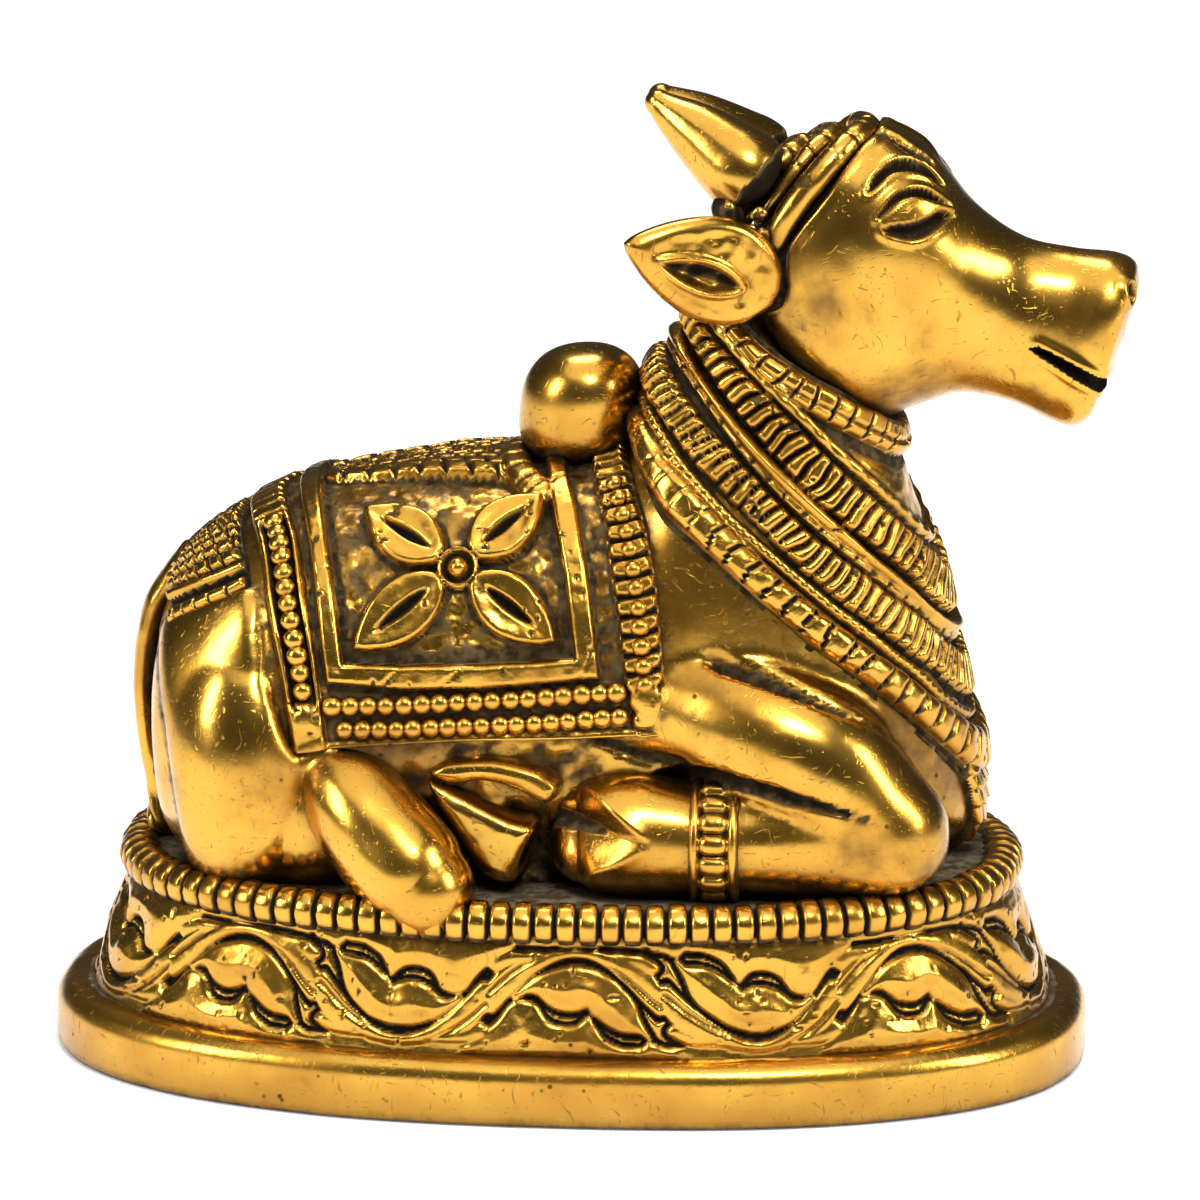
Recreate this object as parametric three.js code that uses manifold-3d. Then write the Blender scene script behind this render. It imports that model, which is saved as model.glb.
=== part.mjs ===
// A seated Nandi bull cast in brass, in one piece with its oval base. Millimetres, +Z up.
// The bull faces +X, its right flank faces -Y, and the origin is under the middle of the base.
// It wears a saddle cloth with a four-petalled flower on each flank, necklaces, a headband and anklets.
import * as THREE from "three";
import { mergeVertices } from "three/addons/utils/BufferGeometryUtils.js";
import Module from "manifold-3d";

// Base: a plinth, a slanted band with vine scrolls, and a rope rim round the deck.
const BASE_LENGTH = 150;
const BASE_WIDTH = 86;
const OVAL_SQUARENESS = 2.35;
const PLINTH_HEIGHT = 9.5;
const PLINTH_EDGE_RADIUS = 3;
const FOOT_BEVEL = 1.4;
const LEDGE_AT_ENDS = 5.2;
const LEDGE_AT_SIDES = 3.6;
const BAND_HEIGHT = 16.5;
const BAND_SLANT_AT_ENDS = 5.5;
const BAND_SLANT_AT_SIDES = 1.4;
const DECK_ABOVE_BAND = 4;
const ROPE_RADIUS = 3;
const ROPE_LOBES = 106;
const ROPE_GROOVE_DEPTH = 0.8;
const SCROLL_COUNT = 14;
const LEAF_WIDTH = 17.6;
const LEAF_HEIGHT = 8.6;
const VINE_DEPTH = 1.2;
const GROOVE_WIDTH = 1.3;

// Bull: its forms are drawn on a figure 112.5 high from deck to horn tip, and grow with FIGURE_HEIGHT.
const FIGURE_HEIGHT = 112.5;
const UNIT = FIGURE_HEIGHT / 112.5;

// Ornament standing on the bull's skin.
const CLOTH_THICKNESS = 0.8;
const CLOTH_BORDER_RELIEF = 1.1;
const FLOWER_RELIEF = 1.4;
const PETAL_LENGTH = 13;
const PETAL_WIDTH = 6.6;
const PETAL_HEADINGS = [40, 140, 222, 318];
const BOSS_RADIUS = 2;
const NECKLACE_RELIEF = 1.5;
const NECKLACE_GROUND = 0.4;
const HEADBAND_RELIEF = 1.2;
const CRUPPER_RELIEF = 1.1;
const GROOVE_DEPTH = 1.4;

const FAR = 1;
const NEAR = -1;
const DEG = Math.PI / 180;
const EMBED = 1.5;

// Torso, from the rump to the nape. Each ring has its top X and Z, its bottom X and Z, half its
// width, its squareness and how much wider it is above than below. Z is above the deck.
const TORSO_RINGS = [
  [-59.6, 27.0, -58.0, 8.0, 13.0, 2.0, 0],
  [-58.0, 35.5, -56.5, 0.0, 21.0, 2.1, -0.05],
  [-54.0, 42.0, -51.0, -2.0, 26.0, 2.2, -0.1],
  [-46.0, 47.8, -40.0, -2.0, 28.5, 2.3, -0.1],
  [-35.4, 52.4, -27.0, -2.0, 28.0, 2.4, -0.1],
  [-18.0, 55.2, -9.0, -2.0, 26.8, 2.4, -0.08],
  [-3.0, 56.6, 9.0, -2.0, 26.0, 2.4, -0.06],
  [8.5, 59.0, 26.0, -2.0, 25.0, 2.3, -0.05],
  [12.5, 68.0, 43.0, -1.0, 23.5, 2.2, -0.05],
  [15.0, 72.8, 57.3, 4.0, 21.0, 2.1, 0],
  [16.8, 76.2, 57.3, 18.0, 18.5, 2.0, 0],
  [18.0, 79.5, 54.2, 32.0, 16.4, 2.0, 0],
  [19.2, 83.0, 51.6, 44.0, 14.8, 2.0, 0],
  [20.5, 88.0, 48.0, 55.0, 13.3, 2.0, 0],
  [22.0, 92.0, 46.0, 64.0, 12.0, 2.0, 0],
];

// Head, from the poll to the muzzle, in the same way.
const HEAD_RINGS = [
  [22.5, 92.0, 29.0, 75.0, 7.0, 2.0, 0],
  [26.0, 98.0, 32.0, 68.0, 11.5, 2.1, 0],
  [32.0, 103.0, 37.0, 64.8, 14.0, 2.2, 0],
  [42.0, 106.0, 43.5, 63.6, 14.8, 2.3, 0.05],
  [50.0, 103.0, 50.0, 66.0, 13.6, 2.3, 0.08],
  [57.1, 94.7, 56.0, 67.8, 11.0, 2.3, 0],
  [64.2, 90.0, 62.5, 66.6, 9.2, 2.2, -0.05],
  [71.3, 88.6, 67.7, 64.3, 8.6, 2.2, -0.05],
  [77.0, 88.0, 71.0, 63.2, 9.0, 2.3, 0.05],
  [79.8, 86.6, 73.6, 64.4, 8.2, 2.4, 0.08],
  [80.4, 84.0, 74.8, 67.0, 5.8, 2.4, 0.05],
];

// Necklaces, from the lowest: the ring that each one follows at 0, 45, 90, 135 and 180 degrees
// from the nape down to the chest, its width, and its share of the full relief.
const NECKLACES = {
  block_cord: { follows: [7.85, 7.85, 8.72, 9.72, 9.5], width: 4.8, share: 1.15 },
  lower_ribs: { follows: [8.5, 8.55, 9.35, 10.4, 10.25], width: 4, share: 0.8 },
  thin_rail: { follows: [9.15, 9.2, 9.98, 10.85, 10.75], width: 2, share: 0.7 },
  broad_rail: { follows: [9.85, 9.9, 10.5, 11.2, 11.1], width: 3.4, share: 1 },
  upper_ribs: { follows: [10.8, 10.85, 11.4, 11.85, 11.65], width: 4, share: 0.8 },
  fine_rail: { follows: [11.6, 11.7, 12.1, 12.5, 12.3], width: 2, share: 0.6 },
  collar: { follows: [12.2, 12.3, 12.8, 13.4, 13.4], width: 4.2, share: 1 },
};

// Saddle cloth: its edges by ring and angle on the torso, and the angle of its crest band.
const CLOTH = { rearTop: 3.05, rearBottom: 3.68, foreTop: 6.82, foreBulge: 0.2, hem: 97.5, crest: 13 };
const FLOWER = { ring: 5.16, angle: 54.5 };

const wasm = await Module();
wasm.setup();

// A row of numbers between two rows of a table, on a Catmull-Rom curve through all of them.
function between(rows, at) {
  const last = rows.length - 1;
  const i = Math.min(Math.floor(THREE.MathUtils.clamp(at, 0, last)), last - 1);
  const f = at - i;
  const [b, c] = [rows[i], rows[i + 1]];
  const a = rows[i - 1] ?? b.map((v, k) => 2 * v - c[k]);
  const d = rows[i + 2] ?? c.map((v, k) => 2 * v - b[k]);
  return b.map((v, k) => {
    const slope = c[k] - a[k];
    const bend = 2 * a[k] - 5 * v + 4 * c[k] - d[k];
    const twist = 3 * v - a[k] - 3 * c[k] + d[k];
    return v + 0.5 * f * (slope + f * (bend + f * twist));
  });
}

// A cosine or sine pushed outwards, for an oval of that squareness.
function squared(value, squareness) {
  return Math.sign(value) * Math.abs(value) ** (2 / squareness);
}

// A skin through a table of rings. Angle 0 is its crest, and it grows to 180 at the underside,
// positive on the far side and negative on the near side.
class Skin {
  constructor(rings) {
    this.rings = rings;
  }

  point(ring, angle) {
    const [topX, topZ, bottomX, bottomZ, half, squareness, egg] = between(this.rings, ring);
    const up = squared(Math.cos(angle * DEG), squareness);
    const out = squared(Math.sin(angle * DEG), squareness);
    return new THREE.Vector3(
      (topX + bottomX) / 2 + ((topX - bottomX) / 2) * up,
      half * (1 + egg * up) * out,
      (topZ + bottomZ) / 2 + ((topZ - bottomZ) / 2) * up,
    ).multiplyScalar(UNIT);
  }

  normal(ring, angle) {
    const along = this.point(ring + 0.02, angle).sub(this.point(ring - 0.02, angle));
    const around = this.point(ring, angle + 1).sub(this.point(ring, angle - 1));
    return around.cross(along).normalize().negate();
  }

  raised(ring, angle, lift) {
    return this.point(ring, angle).addScaledVector(this.normal(ring, angle), lift);
  }

  // The ring and angle of the skin's point nearest to a place, by a few steps from a guess.
  nearest(place, ring, angle) {
    for (let step = 0; step < 6; step++) {
      const here = this.point(ring, angle);
      const along = this.point(ring + 0.05, angle).sub(here).multiplyScalar(20);
      const around = this.point(ring, angle + 1).sub(here);
      const miss = place.clone().sub(here);
      const [aa, ar, rr] = [along.dot(along), along.dot(around), around.dot(around)];
      const [ma, mr] = [miss.dot(along), miss.dot(around)];
      const scale = 1 / (aa * rr - ar * ar);
      ring += (ma * rr - mr * ar) * scale;
      angle += (mr * aa - ma * ar) * scale;
    }
    return [ring, angle];
  }

  solid(steps, sides) {
    const last = this.rings.length - 1;
    return loopsSolid(
      range(steps + 1).map((i) => range(sides).map((j) => this.point((last * i) / steps, (360 * j) / sides))),
    );
  }
}

function range(count) {
  return [...Array(count).keys()];
}

// A closed geometry as a solid that can be joined and cut, turned to face outwards.
function solidFrom(geometry) {
  geometry.deleteAttribute("normal");
  geometry.deleteAttribute("uv");
  const merged = mergeVertices(geometry, 1e-4);
  const vertProperties = merged.attributes.position.array;
  const triVerts = new Uint32Array(merged.index.array);
  const made = new wasm.Manifold(new wasm.Mesh({ numProp: 3, vertProperties, triVerts }));
  if (made.volume() > 0) return made;
  for (let i = 0; i < triVerts.length; i += 3) [triVerts[i], triVerts[i + 1]] = [triVerts[i + 1], triVerts[i]];
  return new wasm.Manifold(new wasm.Mesh({ numProp: 3, vertProperties, triVerts }));
}

// A solid through loops of points, capped at both ends or closed into a ring.
function loopsSolid(loops, closed = false) {
  const sides = loops[0].length;
  const points = loops.flat();
  const faces = [];
  const spans = closed ? loops.length : loops.length - 1;
  for (let i = 0; i < spans; i++) {
    const next = (i + 1) % loops.length;
    for (let j = 0; j < sides; j++) {
      const k = (j + 1) % sides;
      const [a, b, c, d] = [i * sides + j, i * sides + k, next * sides + k, next * sides + j];
      faces.push(a, b, c, a, c, d);
    }
  }
  if (!closed) {
    for (const [loop, first, turn] of [
      [loops[0], 0, false],
      [loops.at(-1), (loops.length - 1) * sides, true],
    ]) {
      const middle = loop.reduce((sum, p) => sum.add(p), new THREE.Vector3()).divideScalar(sides);
      points.push(middle);
      for (let j = 0; j < sides; j++) {
        const [a, b] = [first + j, first + ((j + 1) % sides)];
        faces.push(points.length - 1, turn ? a : b, turn ? b : a);
      }
    }
  }
  const geometry = new THREE.BufferGeometry().setFromPoints(points);
  geometry.setIndex(faces);
  return solidFrom(geometry);
}

function joined(solids) {
  return solids.reduce((all, next) => all.add(next));
}

function figurePoint(x, y, z, side = FAR) {
  return new THREE.Vector3(x, y * side, z).multiplyScalar(UNIT);
}

// A round limb along points of x, y (out from the middle) and z, with a radius at each. Its far
// end is rounded, and its root too where that shows.
function limb(rows, side, { steps, sides, roundRoot = false }) {
  const at = (f) => {
    const [x, y, z, r] = between(rows, f * (rows.length - 1));
    return { centre: figurePoint(x, y, z, side), radius: r * UNIT };
  };
  const loop = (f, shift, share) => {
    const { centre, radius } = at(f);
    const before = at(Math.max(0, f - 0.02)).centre;
    const ahead = at(Math.min(1, f + 0.02)).centre.sub(before).normalize();
    const u = new THREE.Vector3(0, 1, 0).cross(ahead).normalize();
    const v = ahead.clone().cross(u);
    centre.addScaledVector(ahead, shift * radius);
    return range(sides).map((j) => {
      const angle = (2 * Math.PI * j) / sides;
      return centre
        .clone()
        .addScaledVector(u, Math.cos(angle) * radius * share)
        .addScaledVector(v, Math.sin(angle) * radius * share);
    });
  };
  const dome = (f, way) => [loop(f, way * 0.62, 0.79), loop(f, way * 0.95, 0.32)];
  return loopsSolid([
    ...(roundRoot ? dome(0, -1).reverse() : []),
    ...range(steps + 1).map((i) => loop(i / steps, 0, 1)),
    ...dome(1, 1),
  ]);
}

function ellipsoid([x, y, z], half, side, around, down) {
  const ball = new THREE.SphereGeometry(1, around, down).scale(...half.map((v) => v * UNIT));
  const centre = figurePoint(x, y, z, side);
  return solidFrom(ball.translate(centre.x, centre.y, centre.z));
}

// A raised band or an open groove along a path on a skin: its section lies across the path, with
// x across and y up from the skin.
function along(skin, path, section) {
  const points = path.map(([ring, angle]) => skin.point(ring, angle));
  const loops = path.map(([ring, angle], i) => {
    const before = points[Math.max(i - 1, 0)];
    const after = points[Math.min(i + 1, points.length - 1)];
    const up = skin.normal(ring, angle);
    const across = after.clone().sub(before).cross(up).normalize();
    return section(i).map(([x, y]) => points[i].clone().addScaledVector(across, x).addScaledVector(up, y));
  });
  return loopsSolid(loops);
}

// The necklaces as one sleeve round the neck. Each band rises from the groove below it.
function neckwear() {
  const sides = 24;
  const loops = [];
  const level = (follows, shift, lift) => {
    loops.push(range(sides).map((i) => {
      const angle = (360 * i) / sides;
      const ring = necklaceRing(follows, Math.min(angle, 360 - angle));
      const perRing = torso.point(ring + 0.1, angle).distanceTo(torso.point(ring - 0.1, angle)) * 5;
      return torso.raised(ring + shift / perRing, angle, lift);
    }));
  };
  const bands = Object.values(NECKLACES);
  bands.forEach(({ follows, width, share }, i) => {
    const half = (width * UNIT) / 2;
    const relief = NECKLACE_RELIEF * share;
    if (i === 0) level(follows, -half, -EMBED);
    level(follows, -half, NECKLACE_GROUND);
    level(follows, width > 4 ? -half * 0.5 : 0, NECKLACE_GROUND + relief);
    if (width > 4) level(follows, half * 0.5, NECKLACE_GROUND + relief);
    if (i === bands.length - 1) {
      level(follows, half, NECKLACE_GROUND);
      level(follows, half, -EMBED);
    }
  });
  return loopsSolid(loops);
}

// The ring that a necklace follows at an angle from the nape, from its rings at each 45 degrees.
function necklaceRing(follows, angle) {
  const rows = [follows[1], ...follows, follows[3]].map((v) => [v]);
  return between(rows, angle / 45 + 1)[0];
}

// The saddle cloth is one sheet over the torso. Its columns run over the back, its rows along it,
// and each of them has a lift that makes the raised borders, the frame and the crest band.
function saddleCloth() {
  const field = CLOTH_THICKNESS;
  const high = CLOTH_THICKNESS + CLOTH_BORDER_RELIEF;
  const border = [
    [0, -EMBED],
    [0.02, high],
    [0.4, high],
    [0.47, field],
    [0.6, high],
    [0.73, field],
  ];
  const hemBorder = [
    [0, -EMBED],
    [0.4, high],
    [10.4, high],
    [11.6, field],
    [14, high],
    [16.4, field],
  ];
  const rows = [
    ...hemBorder.map(([inset, lift]) => [CLOTH.hem - inset, lift]),
    ...range(2).map((i) => [THREE.MathUtils.lerp(CLOTH.hem - 16.4, CLOTH.crest + 1.6, (i + 1) / 3), field]),
    [CLOTH.crest + 1.6, field],
    [CLOTH.crest, high],
  ];
  const mirrored = [...rows, ...[...rows].reverse().map(([angle, lift]) => [-angle, lift])];
  const rear = (angle) => THREE.MathUtils.lerp(CLOTH.rearTop, CLOTH.rearBottom, Math.abs(angle) / CLOTH.hem);
  const fore = (angle) => CLOTH.foreTop + CLOTH.foreBulge * Math.sin((Math.PI * Math.abs(angle)) / CLOTH.hem);
  const columns = [
    ...border.map(([inset, lift]) => [(angle) => rear(angle) + inset, lift]),
    [(angle) => (rear(angle) + fore(angle)) / 2, field],
    ...border.map(([inset, lift]) => [(angle) => fore(angle) - inset, lift]).reverse(),
  ];
  const loops = columns.map(([ring, columnLift]) => {
    const outer = mirrored.map(([angle, rowLift]) => {
      const sunk = Math.min(rowLift, columnLift) < 0;
      const lift = sunk ? -EMBED : Math.max(rowLift, columnLift);
      return torso.raised(ring(angle), angle, lift);
    });
    const inner = mirrored.map(([angle]) => torso.raised(ring(angle), angle, -2 * EMBED));
    return [...outer, ...inner.reverse()];
  });
  return joined([loopsSolid(loops), ...inPairs(flower).flat()]);
}

// A leaf shape as points round its edge, from its root at 0 to its tip.
function leafOutline(length, width, halfSteps) {
  const lower = range(halfSteps).map((i) => {
    const f = i / halfSteps;
    return [length * f, width * 0.5 * Math.sin(Math.PI * f ** 0.8) ** 0.8];
  });
  const upper = range(halfSteps).map((i) => {
    const f = 1 - i / halfSteps;
    return [length * f, -width * 0.5 * Math.sin(Math.PI * f ** 0.8) ** 0.8];
  });
  return [...lower, ...upper];
}

// One petal on the cloth, sunk towards the crease down its middle.
function petal(place) {
  const rootGap = 1.6;
  const edge = leafOutline(PETAL_LENGTH, PETAL_WIDTH, 4).map(([x, y]) => [x + rootGap, y]);
  const crease = edge.map(([x, y]) => [rootGap + PETAL_LENGTH * 0.15 + (x - rootGap) * 0.7, y * 0.1]);
  const level = CLOTH_THICKNESS + FLOWER_RELIEF;
  return loopsSolid([
    edge.map(([x, y]) => place(x, y, -EMBED)),
    edge.map(([x, y]) => place(x, y, level)),
    crease.map(([x, y]) => place(x, y, level - FLOWER_RELIEF * 0.9)),
  ]);
}

function flower(side) {
  const angle = FLOWER.angle * side;
  const centre = torso.point(FLOWER.ring, angle);
  const out = torso.normal(FLOWER.ring, angle);
  const forward = new THREE.Vector3(1, 0, 0).addScaledVector(out, -out.x).normalize();
  const up = new THREE.Vector3(0, 0, 1).addScaledVector(out, -out.z);
  up.addScaledVector(forward, -up.dot(forward)).normalize();
  const turned = (heading) => (x, y, lift) => {
    const [c, s] = [Math.cos(heading * DEG), Math.sin(heading * DEG)];
    const place = centre
      .clone()
      .addScaledVector(forward, x * c - y * s)
      .addScaledVector(up, x * s + y * c);
    return torso.raised(...torso.nearest(place, FLOWER.ring, angle), lift);
  };
  const level = CLOTH_THICKNESS + FLOWER_RELIEF;
  const disc = (radius, lift) => range(6).map((i) => {
    const a = (2 * Math.PI * i) / 6;
    return turned(0)(radius * Math.cos(a), radius * Math.sin(a), lift);
  });
  return [
    ...PETAL_HEADINGS.map((heading) => petal(turned(heading))),
    loopsSolid([disc(BOSS_RADIUS, -EMBED), disc(BOSS_RADIUS, level - 0.3), disc(BOSS_RADIUS * 0.5, level + 0.4)]),
  ];
}

// The near and far one of what comes in pairs.
function inPairs(make) {
  return [make(NEAR), make(FAR)];
}

// A thick plate over an outline in x and z, from one y to another on that side.
function sidePlate(outline, from, to, side) {
  return loopsSolid([from, to].map((y) => outline.map(([x, z]) => figurePoint(x, y, z, side))));
}

function foreleg(side) {
  const upper = limb(
    [
      [12.5, 17, 26.4, 6.2],
      [24, 21.6, 24.6, 9.6],
      [38, 23.6, 18, 10],
      [46, 24, 10.4, 8.4],
    ],
    side,
    { steps: 4, sides: 10 },
  );
  const lower = limb(
    [
      [46.8, 24, 9, 8.9],
      [30, 24.6, 7.7, 7.8],
      [14, 25, 7.3, 7.3],
      [9, 25, 7.2, 7.6],
    ],
    side,
    { steps: 3, sides: 10, roundRoot: true },
  );
  const ankle = (x, r) => range(10).map((j) => {
    const a = (2 * Math.PI * j) / 10;
    return figurePoint(x, 24.8 + r * Math.cos(a), 7.6 + r * Math.sin(a), side);
  });
  const anklet = loopsSolid([ankle(19.9, 7), ankle(20.6, 9), ankle(25.6, 9.2), ankle(26.3, 7)]);
  const cleft = sidePlate([[14.4, 8.8], [0, 13.4], [0, 5.2]], 27.5, 36, side);
  return joined([upper, lower, anklet]).subtract(cleft);
}

function hindleg(side) {
  const shin = limb(
    [
      [-29, 26.8, 14.0, 7.2],
      [-22.8, 31, 7.6, 8.0],
      [-16.2, 34.4, 1.2, 7.2],
    ],
    side,
    { steps: 2, sides: 10 },
  );
  const upperToe = limb([[-16, 22.6, 17.2, 4], [-3, 23.6, 17, 3]], side, { steps: 1, sides: 8 });
  const lowerToe = limb([[-16, 23, 14.6, 4], [-5.2, 25, 7, 3.8]], side, { steps: 1, sides: 8 });
  const haunch = ellipsoid([-43, 16.5, 16], [13, 15.5, 20], side, 12, 8);
  return joined([haunch, shin, upperToe, lowerToe]);
}

// The tail hangs down the middle of the rump and ends in a tuft.
function tail() {
  const rows = [
    [-57.2, 0, 38, 2.2],
    [-60.2, 0, 30, 2.4],
    [-60.8, 0, 18, 2.2],
    [-58.9, 0, 9, 2.4],
    [-58.2, 0, 3.4, 2.8],
  ];
  return limb(rows, FAR, { steps: 5, sides: 6 });
}

// The horns lean towards each other and are fused but for their tips.
function horn(side) {
  const rows = [
    [31, 6.6, 97, 5.2],
    [25.8, 5.9, 100.6, 6.1],
    [18.7, 3.8, 104.8, 4.5],
    [13.9, 2.5, 108.2, 2.6],
    [11.9, 2.1, 110.4, 1.7],
  ];
  return limb(rows, side, { steps: 4, sides: 9 });
}

// A leaf-shaped ear that points back and out, with a slit in its outer face.
function ear(side) {
  const root = new THREE.Vector3(31.5, 13, 84.6);
  const reach = new THREE.Vector3(10, 22, 92.4).sub(root);
  const length = reach.length();
  const ahead = reach.normalize();
  const up = new THREE.Vector3(0, 0, 1).addScaledVector(ahead, -ahead.z).normalize();
  const out = ahead.clone().cross(up).normalize();
  if (out.y < 0) out.negate();
  const layer = (outline, shift) => outline.map(([x, y]) => {
    const place = root
      .clone()
      .addScaledVector(ahead, x)
      .addScaledVector(up, y)
      .addScaledVector(out, shift);
    return figurePoint(place.x, place.y, place.z, side);
  });
  const leaf = (share, trim) =>
    leafOutline(length - 2 * trim, 15.4 * share, 6).map(([x, y]) => [x + trim, y]);
  const slit = (share) => leafOutline(12.5, 5.4 * share, 3).map(([x, y]) => [x + 7, y - 1.2]);
  return loopsSolid([
    layer(leaf(0.74, 1.6), -2.2),
    layer(leaf(1, 0), -0.6),
    layer(leaf(1, 0), 0.8),
    layer(leaf(0.84, 1), 2),
  ]).subtract(loopsSolid([layer(slit(1), 3), layer(slit(0.3), 0.4)]));
}

// Grooves on the head: the brow, and the lids above and below the eye. Each is a row of ring,
// angle and width, pointed at both ends.
const LID_GROOVES = [
  [[3.05, 53, 0.2], [3.3, 37, 1.7], [3.8, 26.5, 2.1], [4.3, 19, 0.2]],
  [[3.22, 63, 0.2], [3.5, 47, 1.7], [4.0, 37, 1.8], [4.66, 32.5, 0.2]],
  [[3.35, 67, 0.2], [3.75, 68, 1.8], [4.2, 60, 1.8], [4.64, 38, 0.2]],
];

function lidGroove(rows, side) {
  const steps = 4;
  const path = range(steps + 1).map((i) => between(rows, ((rows.length - 1) * i) / steps));
  const section = (i) => {
    const half = path[i][2] / 2;
    return [[-half, 1], [0, -GROOVE_DEPTH], [half, 1]];
  };
  return along(head, path.map(([ring, angle]) => [ring, angle * side]), section);
}

function mouth() {
  const reach = 14;
  const lip = [[65.5, 75.2], [78, 68.6], [80, 70.6]];
  return loopsSolid([-reach, reach].map((y) => lip.map(([x, z]) => figurePoint(x, y, z))));
}

function nostril(side) {
  return ellipsoid([79.6, 5.6, 83.6], [1.6, 1.2, 1.9], side, 6, 4);
}

// A band over the poll between the horns and the brow.
function headband(sideRing, topRing, width) {
  const reach = 66;
  const path = range(11).map((i) => {
    const angle = reach * (i / 5 - 1);
    return [THREE.MathUtils.lerp(topRing, sideRing, (Math.abs(angle) / reach) ** 1.6), angle];
  });
  const half = (width * UNIT) / 2;
  const section = () => [[-half, -EMBED], [-half * 0.5, HEADBAND_RELIEF], [half * 0.5, HEADBAND_RELIEF], [half, -EMBED]];
  return along(head, path, section);
}

// A patch on the rump behind the cloth, over the root of the tail.
function crupper() {
  const reach = 50;
  const loops = range(3).map((i) => {
    const angles = range(9).map((j) => reach * (j / 4 - 1));
    const ring = (angle) => THREE.MathUtils.lerp(1.75, 3.1 + 0.15 * Math.abs(angle / reach), i / 2);
    return [
      ...angles.map((angle) => torso.raised(ring(angle), angle, CRUPPER_RELIEF)),
      ...angles.reverse().map((angle) => torso.raised(ring(angle), angle, -EMBED)),
    ];
  });
  return loopsSolid(loops);
}

// A drop that hangs from the lowest necklace on the chest.
function pendant() {
  return limb([[58.6, 0, 22, 2.4], [59.2, 0, 15, 3.6], [58, 0, 7, 3.2]], FAR, { steps: 2, sides: 6 });
}

const torso = new Skin(TORSO_RINGS);
const head = new Skin(HEAD_RINGS);

function bull() {
  const skull = head
    .solid(20, 16)
    .subtract(mouth())
    .subtract(joined(inPairs(nostril)))
    .subtract(joined(inPairs((side) => joined(LID_GROOVES.map((rows) => lidGroove(rows, side))))));
  return joined([
    torso.solid(20, 20),
    skull,
    headband(1.75, 2.75, 3.4),
    headband(1.3, 2.15, 2.6),
    ...inPairs(foreleg),
    ...inPairs(hindleg),
    ...inPairs(horn),
    ...inPairs(ear),
    tail(),
    crupper(),
    pendant(),
    ellipsoid([2.2, 0, 64.6], [9.1, 9, 9], FAR, 12, 6),
    neckwear(),
    saddleCloth(),
  ]);
}

// The base's oval at given half sizes and height, as a loop of points from the +X end.
function oval(halfLength, halfWidth, z, count) {
  return range(count).map((i) => {
    const angle = (2 * Math.PI * i) / count;
    return new THREE.Vector3(
      halfLength * squared(Math.cos(angle), OVAL_SQUARENESS),
      halfWidth * squared(Math.sin(angle), OVAL_SQUARENESS),
      z,
    );
  });
}

const BAND_FOOT = {
  length: BASE_LENGTH / 2 - LEDGE_AT_ENDS,
  width: BASE_WIDTH / 2 - LEDGE_AT_SIDES,
  z: PLINTH_HEIGHT,
};
const BAND_TOP = {
  length: BAND_FOOT.length - BAND_SLANT_AT_ENDS,
  width: BAND_FOOT.width - BAND_SLANT_AT_SIDES,
  z: PLINTH_HEIGHT + BAND_HEIGHT,
};
const DECK_Z = BAND_TOP.z + DECK_ABOVE_BAND;
const ROPE = {
  length: BAND_TOP.length - 2,
  width: BAND_TOP.width - 0.6,
  z: DECK_Z - ROPE_RADIUS / 2,
};

function base() {
  const count = 40;
  const level = (inset, z) => oval(BASE_LENGTH / 2 - inset, BASE_WIDTH / 2 - inset, z, count);
  const edge = range(3).map((i) => {
    const tilt = (i / 2) * (Math.PI / 2);
    const inset = PLINTH_EDGE_RADIUS * (1 - Math.cos(tilt));
    return level(inset, PLINTH_HEIGHT - PLINTH_EDGE_RADIUS * (1 - Math.sin(tilt)));
  });
  return joined([
    loopsSolid([
      level(FOOT_BEVEL, 0),
      level(0, FOOT_BEVEL),
      ...edge,
      oval(BAND_FOOT.length, BAND_FOOT.width, BAND_FOOT.z, count),
      oval(BAND_TOP.length, BAND_TOP.width, BAND_TOP.z, count),
      oval(ROPE.length - 1, ROPE.width - 1, BAND_TOP.z, count),
      oval(ROPE.length - 1, ROPE.width - 1, DECK_Z, count),
    ]),
    ropeRim(),
  ]).subtract(joined(range(SCROLL_COUNT).map(leafGroove)));
}

// A closed curve round the base at a height between the band's foot, 0, and its top, 1.
function bandCurve(height) {
  const mix = THREE.MathUtils.lerp;
  const loop = oval(
    mix(BAND_FOOT.length, BAND_TOP.length, height),
    mix(BAND_FOOT.width, BAND_TOP.width, height),
    mix(BAND_FOOT.z, BAND_TOP.z, height),
    120,
  );
  return new THREE.CatmullRomCurve3(loop, true);
}

// The rope rim stands on the band's top and laps over the edge of the deck. A groove parts each of
// its lobes from the next.
function ropeRim() {
  const line = new THREE.CatmullRomCurve3(oval(ROPE.length, ROPE.width, ROPE.z, 90), true);
  const inner = (DECK_Z - ROPE.z) / ROPE_RADIUS;
  const loops = range(2 * ROPE_LOBES).map((i) => {
    const share = i / (2 * ROPE_LOBES);
    const middle = line.getPointAt(share);
    const out = line.getTangentAt(share).cross(new THREE.Vector3(0, 0, 1)).normalize();
    const radius = ROPE_RADIUS - (i % 2 ? ROPE_GROOVE_DEPTH : 0);
    const at = (across, z) => middle.clone().addScaledVector(out, across).setZ(z);
    const onRope = (angle) => at(radius * Math.cos(angle * DEG), ROPE.z + radius * Math.sin(angle * DEG));
    const lap = -ROPE_RADIUS * Math.sqrt(Math.max(0.1, 1 - inner * inner));
    return [at(0.4, BAND_TOP.z), onRope(-10), onRope(70), at(lap, DECK_Z), at(lap, BAND_TOP.z)];
  });
  return loopsSolid(loops, true);
}

// A place on the band: u runs round it in scrolls, v from its foot at 0 to its top at 1.
const BAND_LEVELS = range(9).map((i) => bandCurve(i / 8));

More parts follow.
